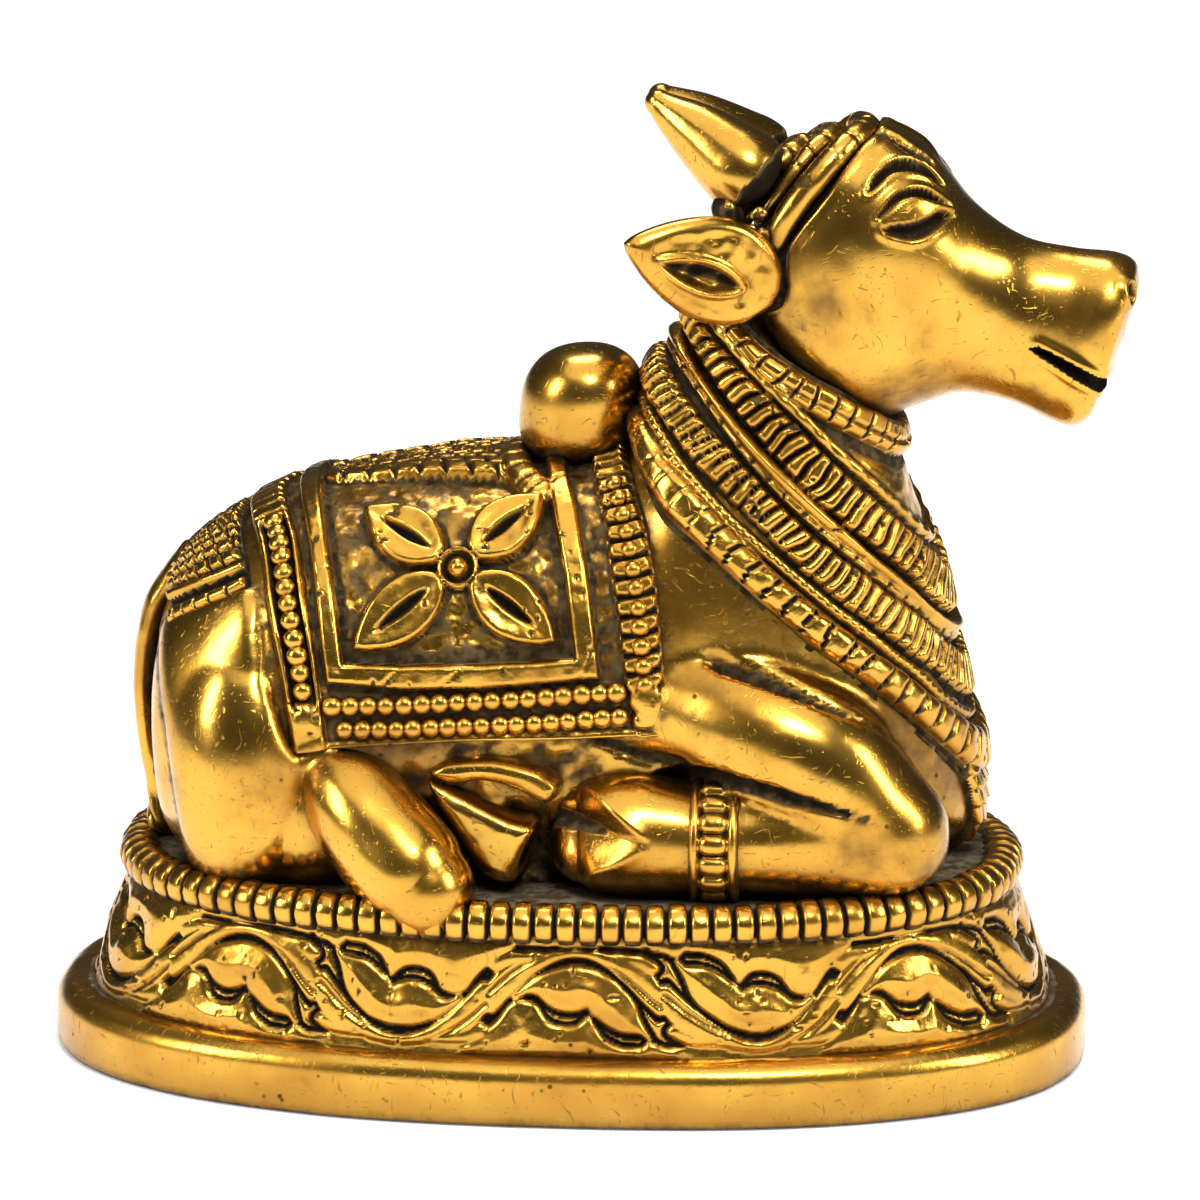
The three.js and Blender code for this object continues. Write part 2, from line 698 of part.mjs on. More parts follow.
function onBand(u, v, lift) {
  const share = (((u / SCROLL_COUNT + 0.75) % 1) + 1) % 1;
  const row = THREE.MathUtils.clamp(v, 0, 0.999) * 8;
  const low = BAND_LEVELS[Math.floor(row)].getPointAt(share);
  const high = BAND_LEVELS[Math.floor(row) + 1].getPointAt(share);
  const ahead = BAND_LEVELS[4].getTangentAt(share);
  const rise = BAND_LEVELS[8].getPointAt(share).sub(BAND_LEVELS[0].getPointAt(share));
  const out = ahead.cross(rise).normalize();
  return low.lerp(high, row % 1).addScaledVector(out, lift);
}

// The vine scroll is carved into the band: a groove runs round each leaf, and what stays between
// the grooves is the stem, weaving up over one leaf and down under the next.
function leafGroove(index) {
  const pitch = BAND_LEVELS[4].getLength() / SCROLL_COUNT;
  const upright = index % 2 ? -1 : 1;
  const back = range(7).map((i) => {
    const angle = (Math.PI * i) / 6;
    return [LEAF_WIDTH * 0.5 * Math.cos(angle), LEAF_HEIGHT * (Math.sin(angle) ** 0.8 - 0.5)];
  });
  const scallops = [[-0.26, -0.56], [0.02, -0.24], [0.26, -0.62]];
  const outline = [...back, ...scallops.map(([x, y]) => [x * LEAF_WIDTH, y * LEAF_HEIGHT])];
  const loops = outline.map(([x, y], i) => {
    const before = outline[(i + outline.length - 1) % outline.length];
    const after = outline[(i + 1) % outline.length];
    const [dx, dy] = [after[0] - before[0], after[1] - before[1]];
    const reach = GROOVE_WIDTH / Math.hypot(dx, dy);
    const at = (across, lift) => {
      const [u, v] = [x + dy * reach * across, y - dx * reach * across];
      return onBand(index + (u * upright) / pitch, 0.5 + (v * upright) / BAND_HEIGHT, lift);
    };
    return [at(-1, 0.7), at(0, -VINE_DEPTH), at(1, 0.7)];
  });
  return loopsSolid(loops, true);
}

function cast() {
  return base().add(bull().translate(0, 0, DECK_Z));
}

// The finished solid as a geometry to draw.
function geometryOf(solid) {
  const { vertProperties, triVerts, numProp } = solid.getMesh();
  const positions = [];
  for (let i = 0; i < vertProperties.length; i += numProp) positions.push(...vertProperties.subarray(i, i + 3));
  const geometry = new THREE.BufferGeometry();
  geometry.setAttribute("position", new THREE.Float32BufferAttribute(positions, 3));
  geometry.setIndex([...triVerts]);
  return geometry;
}

const brass = new THREE.MeshStandardMaterial({ color: 0xc8962e, roughness: 0.28, metalness: 1 });
const nandi = new THREE.Mesh(geometryOf(cast()), brass);
nandi.name = "nandi_bull";

const figure = new THREE.Group();
figure.add(nandi);

export default figure;
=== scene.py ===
"""A seated Nandi bull cast in brass, dressed with its carving, patina and light."""
import math

import bpy
import numpy as np
from mathutils import Matrix, Vector


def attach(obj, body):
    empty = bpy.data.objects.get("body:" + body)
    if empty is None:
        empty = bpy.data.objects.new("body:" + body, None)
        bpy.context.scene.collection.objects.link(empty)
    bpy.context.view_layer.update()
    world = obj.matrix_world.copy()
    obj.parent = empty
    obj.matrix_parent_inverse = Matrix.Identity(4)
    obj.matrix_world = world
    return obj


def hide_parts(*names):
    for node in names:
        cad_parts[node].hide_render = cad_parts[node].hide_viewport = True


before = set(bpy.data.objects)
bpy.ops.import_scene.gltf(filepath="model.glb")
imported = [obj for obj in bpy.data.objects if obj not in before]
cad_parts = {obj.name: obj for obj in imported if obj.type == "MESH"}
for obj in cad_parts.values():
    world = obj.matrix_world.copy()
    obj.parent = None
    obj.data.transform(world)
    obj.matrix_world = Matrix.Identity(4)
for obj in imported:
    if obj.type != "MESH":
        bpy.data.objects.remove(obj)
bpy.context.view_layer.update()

MM = 0.001
DECK_Z = 30.0
SIDES = (-1, 1)  # near and far


# Numbers.

def smooth(low, high, x):
    f = np.clip((x - low) / (high - low), 0, 1)
    return f * f * (3 - 2 * f)


def shoulder(inside, radius):
    """Height of a plateau with a quarter-round shoulder, by the distance inside its edge."""
    f = np.clip(inside / radius, 0, 1)
    return np.sqrt(np.clip(1 - (1 - f) ** 2, 0, 1))


def bell(x, width):
    """1 where x is 0, and next to nothing at twice the width."""
    return np.exp(-(x / width) ** 2)


def from_middle(x):
    """How far x is from the middle of its cell of length 1: 0 there and 1 at its ends."""
    return np.abs(x % 1 - 0.5) * 2


def signed_power(x, power):
    return np.sign(x) * np.abs(x) ** power


def run_along(points):
    """Distance along a line of points, from its first one."""
    return np.concatenate([[0], np.cumsum(np.linalg.norm(np.diff(points, axis=0), axis=1))])


def sided(name, side):
    return name + ("_near" if side < 0 else "_far")


def table(pairs):
    """A smooth curve through (x, value) pairs, even about 0 and 180 degrees."""
    x, y = np.array(pairs, float).T
    fine = np.arange(-60, 241, 1.0)
    folded = np.abs(fine)
    folded = np.where(folded > 180, 360 - folded, folded)
    raw = np.interp(folded, x, y)
    kernel = np.hanning(23)
    soft = np.convolve(np.pad(raw, 11, mode="edge"), kernel / kernel.sum(), "valid")
    return lambda angle: np.interp(np.abs(angle), fine, soft)


def rows_at(rows, at):
    """Rows of a table between its own, on Catmull-Rom curves."""
    rows = np.asarray(rows, float)
    pad = np.vstack([2 * rows[0] - rows[1], rows, 2 * rows[-1] - rows[-2]])
    at = np.clip(at, 0, len(rows) - 1)
    i = np.minimum(np.asarray(at).astype(int), len(rows) - 2)
    f = (at - i)[..., None]
    a, b, c, d = pad[i], pad[i + 1], pad[i + 2], pad[i + 3]
    return b + 0.5 * f * ((c - a) + f * ((2 * a - 5 * b + 4 * c - d) + f * (3 * b - a - 3 * c + d)))


def unit(v):
    return v / (np.linalg.norm(v, axis=-1, keepdims=True) + 1e-12)


def noise(points, size, seed):
    """Smooth value noise from -1 to 1 over points in mm, with features of that size."""
    n = 32
    lattice = np.random.default_rng(seed).uniform(-1, 1, (n, n, n))
    q = np.asarray(points) / size + 100
    i = np.floor(q).astype(int)
    f = q - i
    f = f * f * (3 - 2 * f)
    total = 0
    for corner in np.ndindex(2, 2, 2):
        x, y, z = np.moveaxis((i + corner) % n, -1, 0)
        u, v, w = np.moveaxis(np.abs(1 - np.array(corner) - f), -1, 0)
        total = total + u * v * w * lattice[x, y, z]
    return total


def polyline(points, line):
    """Distance from 2-D points to a polyline, and how far along it (0 to 1) the nearest place is."""
    line = np.asarray(line, float)
    lengths = np.linalg.norm(np.diff(line, axis=0), axis=1)
    start = np.concatenate([[0], np.cumsum(lengths)])
    best = np.full(points.shape[:-1], 1e9)
    where = np.zeros(points.shape[:-1])
    for a, b, s, length in zip(line[:-1], line[1:], start, lengths):
        f = np.clip(((points - a) @ (b - a)) / length ** 2, 0, 1)
        d = np.linalg.norm(points - (a + f[..., None] * (b - a)), axis=-1)
        near = d < best
        best = np.where(near, d, best)
        where = np.where(near, (s + f * length) / start[-1], where)
    return best, where


def inside_polygon(points, polygon):
    """Distance inside a closed 2-D outline, negative outside."""
    polygon = np.asarray(polygon, float)
    distance, _ = polyline(points, np.vstack([polygon, polygon[:1]]))
    odd = np.zeros(points.shape[:-1], bool)
    for a, b in zip(polygon, np.roll(polygon, -1, axis=0)):
        if a[1] == b[1]:
            continue
        crosses = (a[1] > points[..., 1]) != (b[1] > points[..., 1])
        odd ^= crosses & (points[..., 0] < (b[0] - a[0]) * (points[..., 1] - a[1]) / (b[1] - a[1]) + a[0])
    return np.where(odd, distance, -distance)


def rounded(outline, copies=6):
    """More points on a closed outline, on a smooth curve through its own."""
    outline = np.asarray(outline, float)
    n = len(outline)
    padded = np.vstack([outline[-2:], outline, outline[:3]])
    at = 2 + np.arange(n * copies) / copies
    return rows_at(padded, at)


# Meshes.

def placed(name, data):
    """A new object in the scene."""
    made = bpy.data.objects.new(name, data)
    bpy.context.scene.collection.objects.link(made)
    return made


def facing_out(points, quads, tris):
    """The faces of a closed mesh, turned over if they face inwards."""
    a, b, c, d = (points[quads[:, k]] for k in range(4))
    volume = np.einsum("ij,ij->", a, np.cross(b, c)) + np.einsum("ij,ij->", a, np.cross(c, d))
    a, b, c = (points[tris[:, k]] for k in range(3))
    volume += np.einsum("ij,ij->", a, np.cross(b, c))
    return (quads, tris) if volume > 0 else (quads[:, ::-1], tris[:, ::-1])


def mesh_piece(name, points, quads, tris=np.zeros((0, 3), int), patina=None):
    """A closed mesh in metres from points in mm."""
    quads, tris = facing_out(points, quads, tris)
    mesh = bpy.data.meshes.new(name)
    corners = np.concatenate([quads.ravel(), tris.ravel()]).astype(np.int32)
    starts = np.concatenate([np.arange(len(quads)) * 4, len(quads) * 4 + np.arange(len(tris)) * 3])
    mesh.vertices.add(len(points))
    mesh.vertices.foreach_set("co", (points * MM).astype(np.float32).ravel())
    mesh.loops.add(len(corners))
    mesh.loops.foreach_set("vertex_index", corners)
    mesh.polygons.add(len(starts))
    mesh.polygons.foreach_set("loop_start", starts.astype(np.int32))
    mesh.update(calc_edges=True)
    mesh.validate()
    mesh.polygons.foreach_set("use_smooth", np.ones(len(mesh.polygons), bool))
    layer = mesh.attributes.new("patina", "FLOAT", "POINT")
    values = np.zeros(len(points)) if patina is None else patina
    layer.data.foreach_set("value", values.astype(np.float32))
    return placed(name, mesh)


def grid_quads(rows, columns, wrap):
    i = np.arange(rows - 1)[:, None]
    j = np.arange(columns if wrap else columns - 1)[None, :]
    k = (j + 1) % columns
    return np.stack([i * columns + j, i * columns + k, (i + 1) * columns + k, (i + 1) * columns + j], -1).reshape(-1, 4)


def tube_parts(points):
    """Quads, cap triangles and points of a tube of loops, closed at both ends by fans."""
    rows, columns = points.shape[:2]
    flat = points.reshape(-1, 3)
    quads = grid_quads(rows, columns, True)
    ends = [points[0].mean(0), points[-1].mean(0)]
    flat = np.vstack([flat, ends])
    j = np.arange(columns)
    k = (j + 1) % columns
    last = (rows - 1) * columns
    first_fan = np.stack([np.full(columns, rows * columns), k, j], -1)
    last_fan = np.stack([np.full(columns, rows * columns + 1), last + j, last + k], -1)
    return flat, quads, np.vstack([first_fan, last_fan])


def tube(name, points, patina=None):
    flat, quads, fans = tube_parts(points)
    if patina is not None:
        patina = np.concatenate([patina.ravel(), [0, 0]])
    return mesh_piece(name, flat, quads, fans, patina)


def patch(name, outer, inner_depth, normals, patina):
    """A carved patch on a skin: its rim goes down into the body and is closed under it."""
    rows, columns = outer.shape[:2]
    index = np.arange(rows * columns).reshape(rows, columns)
    rim = np.concatenate([index[0, :-1], index[:-1, -1], index[-1, :0:-1], index[:0:-1, 0]])
    flat = outer.reshape(-1, 3)
    sunk = flat[rim] - normals.reshape(-1, 3)[rim] * inner_depth
    middle = sunk.mean(0)
    quads = grid_quads(rows, columns, False)
    count = len(rim)
    k = np.arange(count)
    k2 = (k + 1) % count
    base = rows * columns
    walls = np.stack([rim[k2], rim[k], base + k, base + k2], -1)
    fan = np.stack([np.full(count, base + count), base + k2, base + k], -1)
    points = np.vstack([flat, sunk, middle[None]])
    patina = np.concatenate([patina.ravel(), np.ones(count + 1)])
    return mesh_piece(name, points, np.vstack([quads, walls]), fan, patina)


def recess(lift, cells, closed=False, gain=1.0):
    """How far each place lies below the mean of some cells each way, as patina from 0 to 1.
    The last column of a closed grid meets its first."""
    mean = lift
    for axis, n in enumerate(cells):
        kernel = np.hanning(2 * n + 3)[1:-1]
        kernel = kernel / kernel.sum()
        widths = [(0, 0), (0, 0)]
        widths[axis] = (n, n)
        padded = np.pad(mean, widths, mode="wrap" if closed and axis == 1 else "edge")
        mean = np.apply_along_axis(lambda v: np.convolve(v, kernel, "valid"), axis, padded)
    return np.clip((mean - lift) * gain, 0, 1)


class Relief:
    """Carving on a skin: how high it stands and how dark it is at each place. A fresh relief takes
    the darkness of each new form, and another keeps the lesser one."""

    def __init__(self, lift, dark, fresh=False):
        self.lift, self.dark, self.fresh = lift, dark, fresh

    def raise_to(self, where, height, dark):
        higher = where & (height > self.lift)
        self.lift = np.where(higher, height, self.lift)
        self.dark = np.where(higher, dark if self.fresh else np.minimum(self.dark, dark), self.dark)

    def darken(self, where, dark):
        self.dark = np.where(where, np.maximum(self.dark, dark), self.dark)

    def pocks(self, points, seed):
        """Small casting flaws on what stands out, from 0 to 1."""
        return smooth(0.66, 0.82, noise(points, 1.0, seed)) * smooth(1.2, 1.6, self.lift)


class Skin:
    """A skin through a table of rings. Angle 0 is its crest, negative angles are the near side."""

    def __init__(self, rings):
        self.rings = np.asarray(rings, float)
        self.last = len(rings) - 1

    def point(self, ring, angle):
        ring, angle = np.broadcast_arrays(np.asarray(ring, float), np.asarray(angle, float))
        top_x, top_z, low_x, low_z, half, square, egg = np.moveaxis(rows_at(self.rings, ring), -1, 0)
        up = signed_power(np.cos(np.radians(angle)), 2 / square)
        out = signed_power(np.sin(np.radians(angle)), 2 / square)
        return np.stack([
            (top_x + low_x) / 2 + (top_x - low_x) / 2 * up,
            half * (1 + egg * up) * out,
            (top_z + low_z) / 2 + (top_z - low_z) / 2 * up,
        ], -1)

    def slopes(self, ring, angle):
        rings, degrees = 0.02, 0.6
        along = (self.point(ring + rings, angle) - self.point(ring - rings, angle)) * (0.5 / rings)
        around = (self.point(ring, angle + degrees) - self.point(ring, angle - degrees)) / (2 * degrees)
        return along, around

    def normal(self, ring, angle):
        along, around = self.slopes(ring, angle)
        return unit(np.cross(along, around))

    def surface(self, ring, angle):
        """Points and normals, and the mm that one ring and one degree take up at each."""
        along, around = self.slopes(ring, angle)
        per_ring, per_degree = np.linalg.norm(along, axis=-1), np.linalg.norm(around, axis=-1)
        return self.point(ring, angle), unit(np.cross(along, around)), per_ring, per_degree

    def chart(self, ring, angle):
        """A flat chart at a place: its centre, forward, up and out directions."""
        centre = self.point(ring, angle)
        out = self.normal(ring, angle)
        forward = unit(np.array([1, 0, 0]) - out * out[0])
        up = unit(np.array([0, 0, 1]) - out * out[2] - forward * forward[2])
        up = unit(up - forward * (up @ forward))
        return centre, forward, up, out


TORSO = Skin([
    [-59.6, 27.0, -58.0, 8.0, 13.0, 2.0, 0],
    [-58.0, 35.5, -56.5, 0.0, 21.0, 2.1, -0.05],
    [-54.0, 42.0, -51.0, -2.0, 26.0, 2.2, -0.1],
    [-46.0, 47.8, -40.0, -2.0, 28.5, 2.3, -0.1],
    [-35.4, 52.4, -27.0, -2.0, 28.0, 2.4, -0.1],
    [-18.0, 55.2, -9.0, -2.0, 26.8, 2.4, -0.08],
    [-3.0, 56.6, 9.0, -2.0, 26.0, 2.4, -0.06],
    [8.5, 59.0, 26.0, -2.0, 25.0, 2.3, -0.05],
    [12.5, 68.0, 43.0, -1.0, 23.5, 2.2, -0.05],
    [15.0, 72.8, 57.3, 4.0, 21.0, 2.1, 0],
    [16.8, 76.2, 57.3, 18.0, 18.5, 2.0, 0],
    [18.0, 79.5, 54.2, 32.0, 16.4, 2.0, 0],
    [19.2, 83.0, 51.6, 44.0, 14.8, 2.0, 0],
    [20.5, 88.0, 48.0, 55.0, 13.3, 2.0, 0],
    [22.0, 92.0, 46.0, 64.0, 12.0, 2.0, 0],
])

HEAD = Skin([
    [22.5, 92.0, 29.0, 75.0, 7.0, 2.0, 0],
    [26.0, 98.0, 32.0, 68.0, 11.5, 2.1, 0],
    [32.0, 103.0, 37.0, 64.8, 14.0, 2.2, 0],
    [42.0, 106.0, 43.5, 63.6, 14.8, 2.3, 0.05],
    [50.0, 103.0, 50.0, 66.0, 13.6, 2.3, 0.08],
    [57.1, 94.7, 56.0, 67.8, 11.0, 2.3, 0],
    [64.2, 90.0, 62.5, 66.6, 9.2, 2.2, -0.05],
    [71.3, 88.6, 67.7, 64.3, 8.6, 2.2, -0.05],
    [77.0, 88.0, 71.0, 63.2, 9.0, 2.3, 0.05],
    [79.8, 86.6, 73.6, 64.4, 8.2, 2.4, 0.08],
    [80.4, 84.0, 74.8, 67.0, 5.8, 2.4, 0.05],
])


def full_turn(count):
    """Degrees round a skin, from its lowest line round to there again."""
    return np.arange(count) / count * 360 - 180


def on_deck(points):
    return np.asarray(points) + np.array([0, 0, DECK_Z])


# Base.

# Ovals by half length and half width in mm, and how high they lie.
OVAL_SQUARENESS = 2.35
PLINTH = (75.0, 43.0)
BAND_FOOT, BAND_FOOT_Z = (69.8, 39.4), 9.5
BAND_TOP, BAND_TOP_Z = (64.3, 38.0), 26.0
ROPE_OVAL, ROPE_Z = (62.3, 37.4), 28.5
ROPE_RADIUS = 3.0
ROPE_LOBES = 106
SCROLLS = 14


def oval(half_length, half_width, share):
    """Points and outward directions round an oval, evenly by length, from the +X end."""
    a = np.linspace(0, 2 * np.pi, 4001)
    x = half_length * signed_power(np.cos(a), 2 / OVAL_SQUARENESS)
    y = half_width * signed_power(np.sin(a), 2 / OVAL_SQUARENESS)
    run = np.concatenate([[0], np.cumsum(np.hypot(np.diff(x), np.diff(y)))])
    at = share * run[-1]
    px, py = np.interp(at, run, x), np.interp(at, run, y)
    step = 0.4
    ahead, behind = (at + step) % run[-1], (at - step) % run[-1]
    tx = np.interp(ahead, run, x) - np.interp(behind, run, x)
    ty = np.interp(ahead, run, y) - np.interp(behind, run, y)
    out = unit(np.stack([ty, -tx], -1))
    return np.stack([px, py], -1), out, run[-1]


def make_plinth():
    share = np.arange(480) / 480
    # The profile by how far in it lies and how high, with a rounded upper edge.
    top, rounding = 9.5, 3.1
    profile = [(1.2, 0.0), (0.5, 0.25), (0.12, 0.8), (0, 1.8), (0, 4.2), (0, 6.3)]
    profile += [(rounding * (1 - math.cos(a)), top - rounding * (1 - math.sin(a)))
                for a in np.linspace(0.12, math.pi / 2, 9)]
    profile += [(4.1, top), (4.6, top), (5.2, 9.47), (7.5, 9.4)]
    loops = []
    for inset, z in profile:
        xy, out, _ = oval(PLINTH[0] - inset, PLINTH[1] - inset, share)
        p = np.column_stack([xy, np.full(len(share), z)])
        wobble = 0.12 * noise(p, 14, 3) + 0.05 * noise(p, 5, 4)
        p[:, :2] += out * (wobble * (z > 0.1) - 0.12)[:, None]
        if z > 9:
            p[:, 2] += 0.12 * noise(p, 6, 5)
        loops.append(p)
    points = np.stack(loops)
    patina = np.zeros(points.shape[:2])
    patina[-5:-2] = np.array([0.18, 0.36, 0.62])[:, None]
    patina[-2:] = 1.1
    patina[0] = 0.8
    return tube("plinth", points, patina)


# One bay of the vine, in mm from its middle and from the band's foot: the leaf under the arch, the
# filling below it and the drops over its shoulders. The next bays are the same turned upside down.
LEAF = [(-8.7, 8.2), (-7.5, 9.5), (-5.7, 11.1), (-4.0, 12.0), (-1.9, 12.6), (0.1, 12.8), (2.1, 12.5), (4.2, 11.7),
        (5.8, 10.5), (7.4, 9.0), (8.4, 7.3), (8.9, 5.5), (9.5, 4.0), (10.1, 2.7), (9.0, 3.5), (7.6, 3.6), (6.2, 3.8),
        (5.0, 4.3), (4.0, 5.0), (3.0, 5.8), (2.2, 6.4), (1.5, 7.3), (0.4, 6.8), (-0.9, 6.5), (-2.3, 6.6), (-3.6, 7.1),
        (-4.6, 7.9), (-5.6, 8.7), (-7.0, 8.9)]
FILLING = [(-15.4, 0.4), (-15.0, 1.5), (-12.8, 3.4), (-10.9, 5.0), (-9.4, 7.0), (-8.6, 7.6), (-7.3, 7.7), (-5.9, 7.2),
           (-5.2, 6.2), (-4.5, 5.1), (-3.3, 4.3), (-1.6, 4.0), (0.0, 4.3), (1.0, 5.1), (1.7, 5.7), (2.4, 4.4),
           (3.3, 2.9), (4.6, 2.0), (6.2, 1.3), (8.4, 1.1), (8.6, 0.2), (0, 0.2), (-8, 0.2)]
DROPS = [[(-12.6, 13.9), (-12.4, 12.6), (-11.1, 11.9), (-9.1, 12.8), (-5.7, 13.8), (-2.6, 14.7), (-9.1, 14.7)],
         [(2.5, 14.7), (5.2, 13.9), (7.6, 13.0), (9.6, 12.1), (10.9, 11.9), (12.0, 12.8), (10.7, 13.9), (8.7, 14.6)],
         [(8.9, 0.3), (9.6, 1.8), (10.6, 2.0), (11.6, 1.5), (13.6, 1.0), (13.4, 0.2)]]
BAND_HEIGHT = 16.5
BAY_REACH = 16


def vine_relief(x, y, pitch):
    """Height of the vine carving over its ground, by mm round the band and mm up it."""
    index = np.round(x / pitch)
    height = np.zeros_like(x)
    reach = np.full(x.shape, -9.0)
    for step in (-1, 0, 1):
        bay = index + step
        flipped = (bay % 2).astype(bool)
        u = x - bay * pitch
        u = np.where(flipped, -u, u)
        v = np.where(flipped, BAND_HEIGHT - y, y)
        near = np.stack([u, v], -1)
        ok = np.abs(u) < BAY_REACH
        shapes = [(rounded(LEAF), 0.75, 1.25), (rounded(FILLING), 0.45, 1.2)]
        shapes += [(rounded(drop), 0.3, 1.15) for drop in DROPS]
        for outline, crown, tall in shapes:
            inside = np.full(x.shape, -9.0)
            inside[ok] = inside_polygon(near[ok], outline)
            reach = np.maximum(reach, inside + 0.45)
            h = shoulder(inside + 0.45, 1.15) * tall + crown * smooth(0.3, 3.0, inside)
            height = np.maximum(height, h)
    c, s = np.cos(np.pi * x / pitch), np.sin(np.pi * x / pitch)
    bend = np.sign(c) * (np.sqrt(c * c + 0.02) - 0.1414) ** 0.82 * 1.16
    wave = BAND_HEIGHT / 2 + 6.35 * bend
    slope = np.gradient(wave, axis=1) / (np.gradient(x, axis=1) + 1e-9)
    across = (y - wave) / np.sqrt(1 + np.clip(slope, -2, 2) ** 2)
    width = 0.85 + 1.45 * np.abs(s) ** 2.0
    stem = shoulder(width - np.abs(across), 0.7) * 1.2 + 0.15 * smooth(0.4, 1.4, width - np.abs(across))
    split = bell(across + 0.75 * np.sign(c * s), 0.3) * smooth(0.45, 0.75, np.abs(s))
    stem = np.where(stem > 0.4, stem - 0.75 * split, stem)
    height = np.maximum(height, stem)
    reach = np.maximum(reach, width - np.abs(across))
    # Wide gaps are filled, so that only narrow grooves are left round the forms.
    height = np.maximum(height, 0.95 * smooth(-0.30, -0.75, reach))
    height = np.maximum(height, shoulder(1.7 - y, 0.5) * 0.85)
    height = np.maximum(height, shoulder(y - BAND_HEIGHT + 0.9, 0.6) * 1.0)
    return height


def make_vine_band():
    columns, rows = 1100, 56
    share = np.arange(columns) / columns
    v = np.linspace(-0.05, 1.06, rows)[:, None]
    foot, _, foot_run = oval(*BAND_FOOT, share)
    top, _, top_run = oval(*BAND_TOP, share)
    xy = foot[None] * (1 - v[..., None]) + top[None] * v[..., None]
    z = BAND_FOOT_Z + (BAND_TOP_Z - BAND_FOOT_Z) * v
    points = np.concatenate([xy, np.broadcast_to(z[..., None], (rows, columns, 1))], -1)
    ahead = np.roll(points, -1, 1) - np.roll(points, 1, 1)
    normals = unit(np.cross(ahead, np.gradient(points, axis=0)))
    mean_run = (foot_run + top_run) / 2
    # A bay with an arch stands a little right of the near side's middle.
    near_middle, shift = 0.75, 4.4
    x = np.broadcast_to(((share - near_middle) * mean_run - shift)[None], (rows, columns))
    x = x + 0.3 * noise(points, 9, 21)
    y = np.broadcast_to(v * BAND_HEIGHT, (rows, columns)) + 0.25 * noise(points, 8, 22)
    height = vine_relief(x, y, mean_run / SCROLLS)
    chisel = 0.10 * noise(points, 1.6, 23) + 0.12 * noise(points, 3.5, 24)
    pock = smooth(0.66, 0.84, noise(points, 0.8, 25)) * smooth(0.8, 1.1, height)
    lift = -1.3 + height + chisel * np.where(height < 0.35, 1.4, 0.7) - 0.35 * pock
    ground = smooth(0.62, 0.10, height)
    patina = np.clip(1.35 * ground + 0.7 * pock + recess(height, (4, 4), closed=True), 0, 1.9)
    return tube("vine_band", points + normals * lift[..., None], patina)


def make_rope_rim():
    per_lobe, around = 12, 14
    columns = ROPE_LOBES * per_lobe
    share = np.arange(columns) / columns
    lobe = np.arange(columns) // per_lobe
    within = (np.arange(columns) % per_lobe) / per_lobe
    xy, out, _ = oval(*ROPE_OVAL, share)
    lobe_rng = np.random.default_rng(5)
    size = 1 + 0.05 * lobe_rng.uniform(-1, 1, ROPE_LOBES)
    gap_at = 0.5 + 0.06 * lobe_rng.uniform(-1, 1, ROPE_LOBES)
    off = np.abs(within - 0.5) * 2
    barrel = 0.90 + 0.10 * np.sqrt(np.clip(1 - (off / 0.86) ** 2, 0, 1))
    gap = smooth(0.74, 0.93, off)
    radius = ROPE_RADIUS * size[lobe] * barrel - gap * (0.95 + 0.5 * gap_at[lobe])
    angle = np.linspace(0, 2 * np.pi, around, endpoint=False)
    loops = []
    for a in angle:
        r = radius * (1 + 0.03 * math.cos(2 * a))
        loops.append(np.column_stack([xy + out * (r * math.cos(a))[:, None], ROPE_Z + r * math.sin(a)]))
    points = np.stack(loops)
    points = points + 0.07 * noise(points, 2.2, 31)[..., None] * np.array([0, 0, 1])
    patina = np.broadcast_to(np.clip(gap * 1.9, 0, 1.8)[None], points.shape[:2]).copy()
    # The underside of the rope is painted dark, as the shadow under it; its inner side, towards the deck, is darker
    # too.
    patina[np.sin(angle) < -0.55] = 1.3
    inward = np.cos(angle) < -0.55
    patina[inward] = np.maximum(patina[inward], 0.7)
    quads = grid_quads(around + 1, columns, True) % (around * columns)
    return mesh_piece("rope_rim", points.reshape(-1, 3), quads, patina=patina.ravel())


def make_deck():
    share = np.arange(240) / 240
    loops = []
    for inset, z in ((0.2, 26.2), (0.2, DECK_Z - 0.2), *((k, DECK_Z) for k in (1, 2.2, 3.5, 5, 7, 10, 14, 19, 25, 32))):
        xy, _, _ = oval(ROPE_OVAL[0] - inset, ROPE_OVAL[1] - inset, share)
        p = np.column_stack([xy, np.full(len(share), z)])
        if z > 27:
            p[:, 2] += 0.16 * noise(p, 2.6, 41) + 0.12 * noise(p, 7, 42)
        loops.append(p)
    points = np.stack(loops)
    return tube("deck", points, np.full(points.shape[:2], 0.95))


# Body.

def limb_points(rows, side, steps, sides, blunt=0.0, hint=(0, 1.0, 0)):
    """Loops round a limb, with domed ends. A blunt end is flatter."""
    rows = np.asarray(rows, float)
    f = np.linspace(0, len(rows) - 1, steps)
    hint = np.asarray(hint, float)
    if hint.ndim == 2:
        hint = rows_at(hint, f)
    values = rows_at(rows, f)
    centre = values[:, :3] * np.array([1, side, 1])
    radius = values[:, 3]
    ahead = unit(np.gradient(centre, axis=0))
    u = unit(np.cross(hint, ahead))
    v = np.cross(ahead, u)
    a = np.linspace(0, 2 * np.pi, sides, endpoint=False)

    def loop(k, shift, share):
        c = centre[k] + ahead[k] * shift * radius[k]
        return c + radius[k] * share * (np.cos(a)[:, None] * u[k] + np.sin(a)[:, None] * v[k])

    def dome(k, way, flat):
        tilt = np.linspace(0, np.pi / 2, 9)[1:-1]
        reach = 1 - flat
        return [loop(k, way * math.sin(t) * reach, math.cos(t) ** (1 - 0.6 * flat)) for t in tilt]

    loops = dome(0, -1, 0.0)[::-1]
    loops += [loop(k, 0, 1) for k in range(steps)]
    loops += dome(steps - 1, 1, blunt)
    return np.stack(loops)


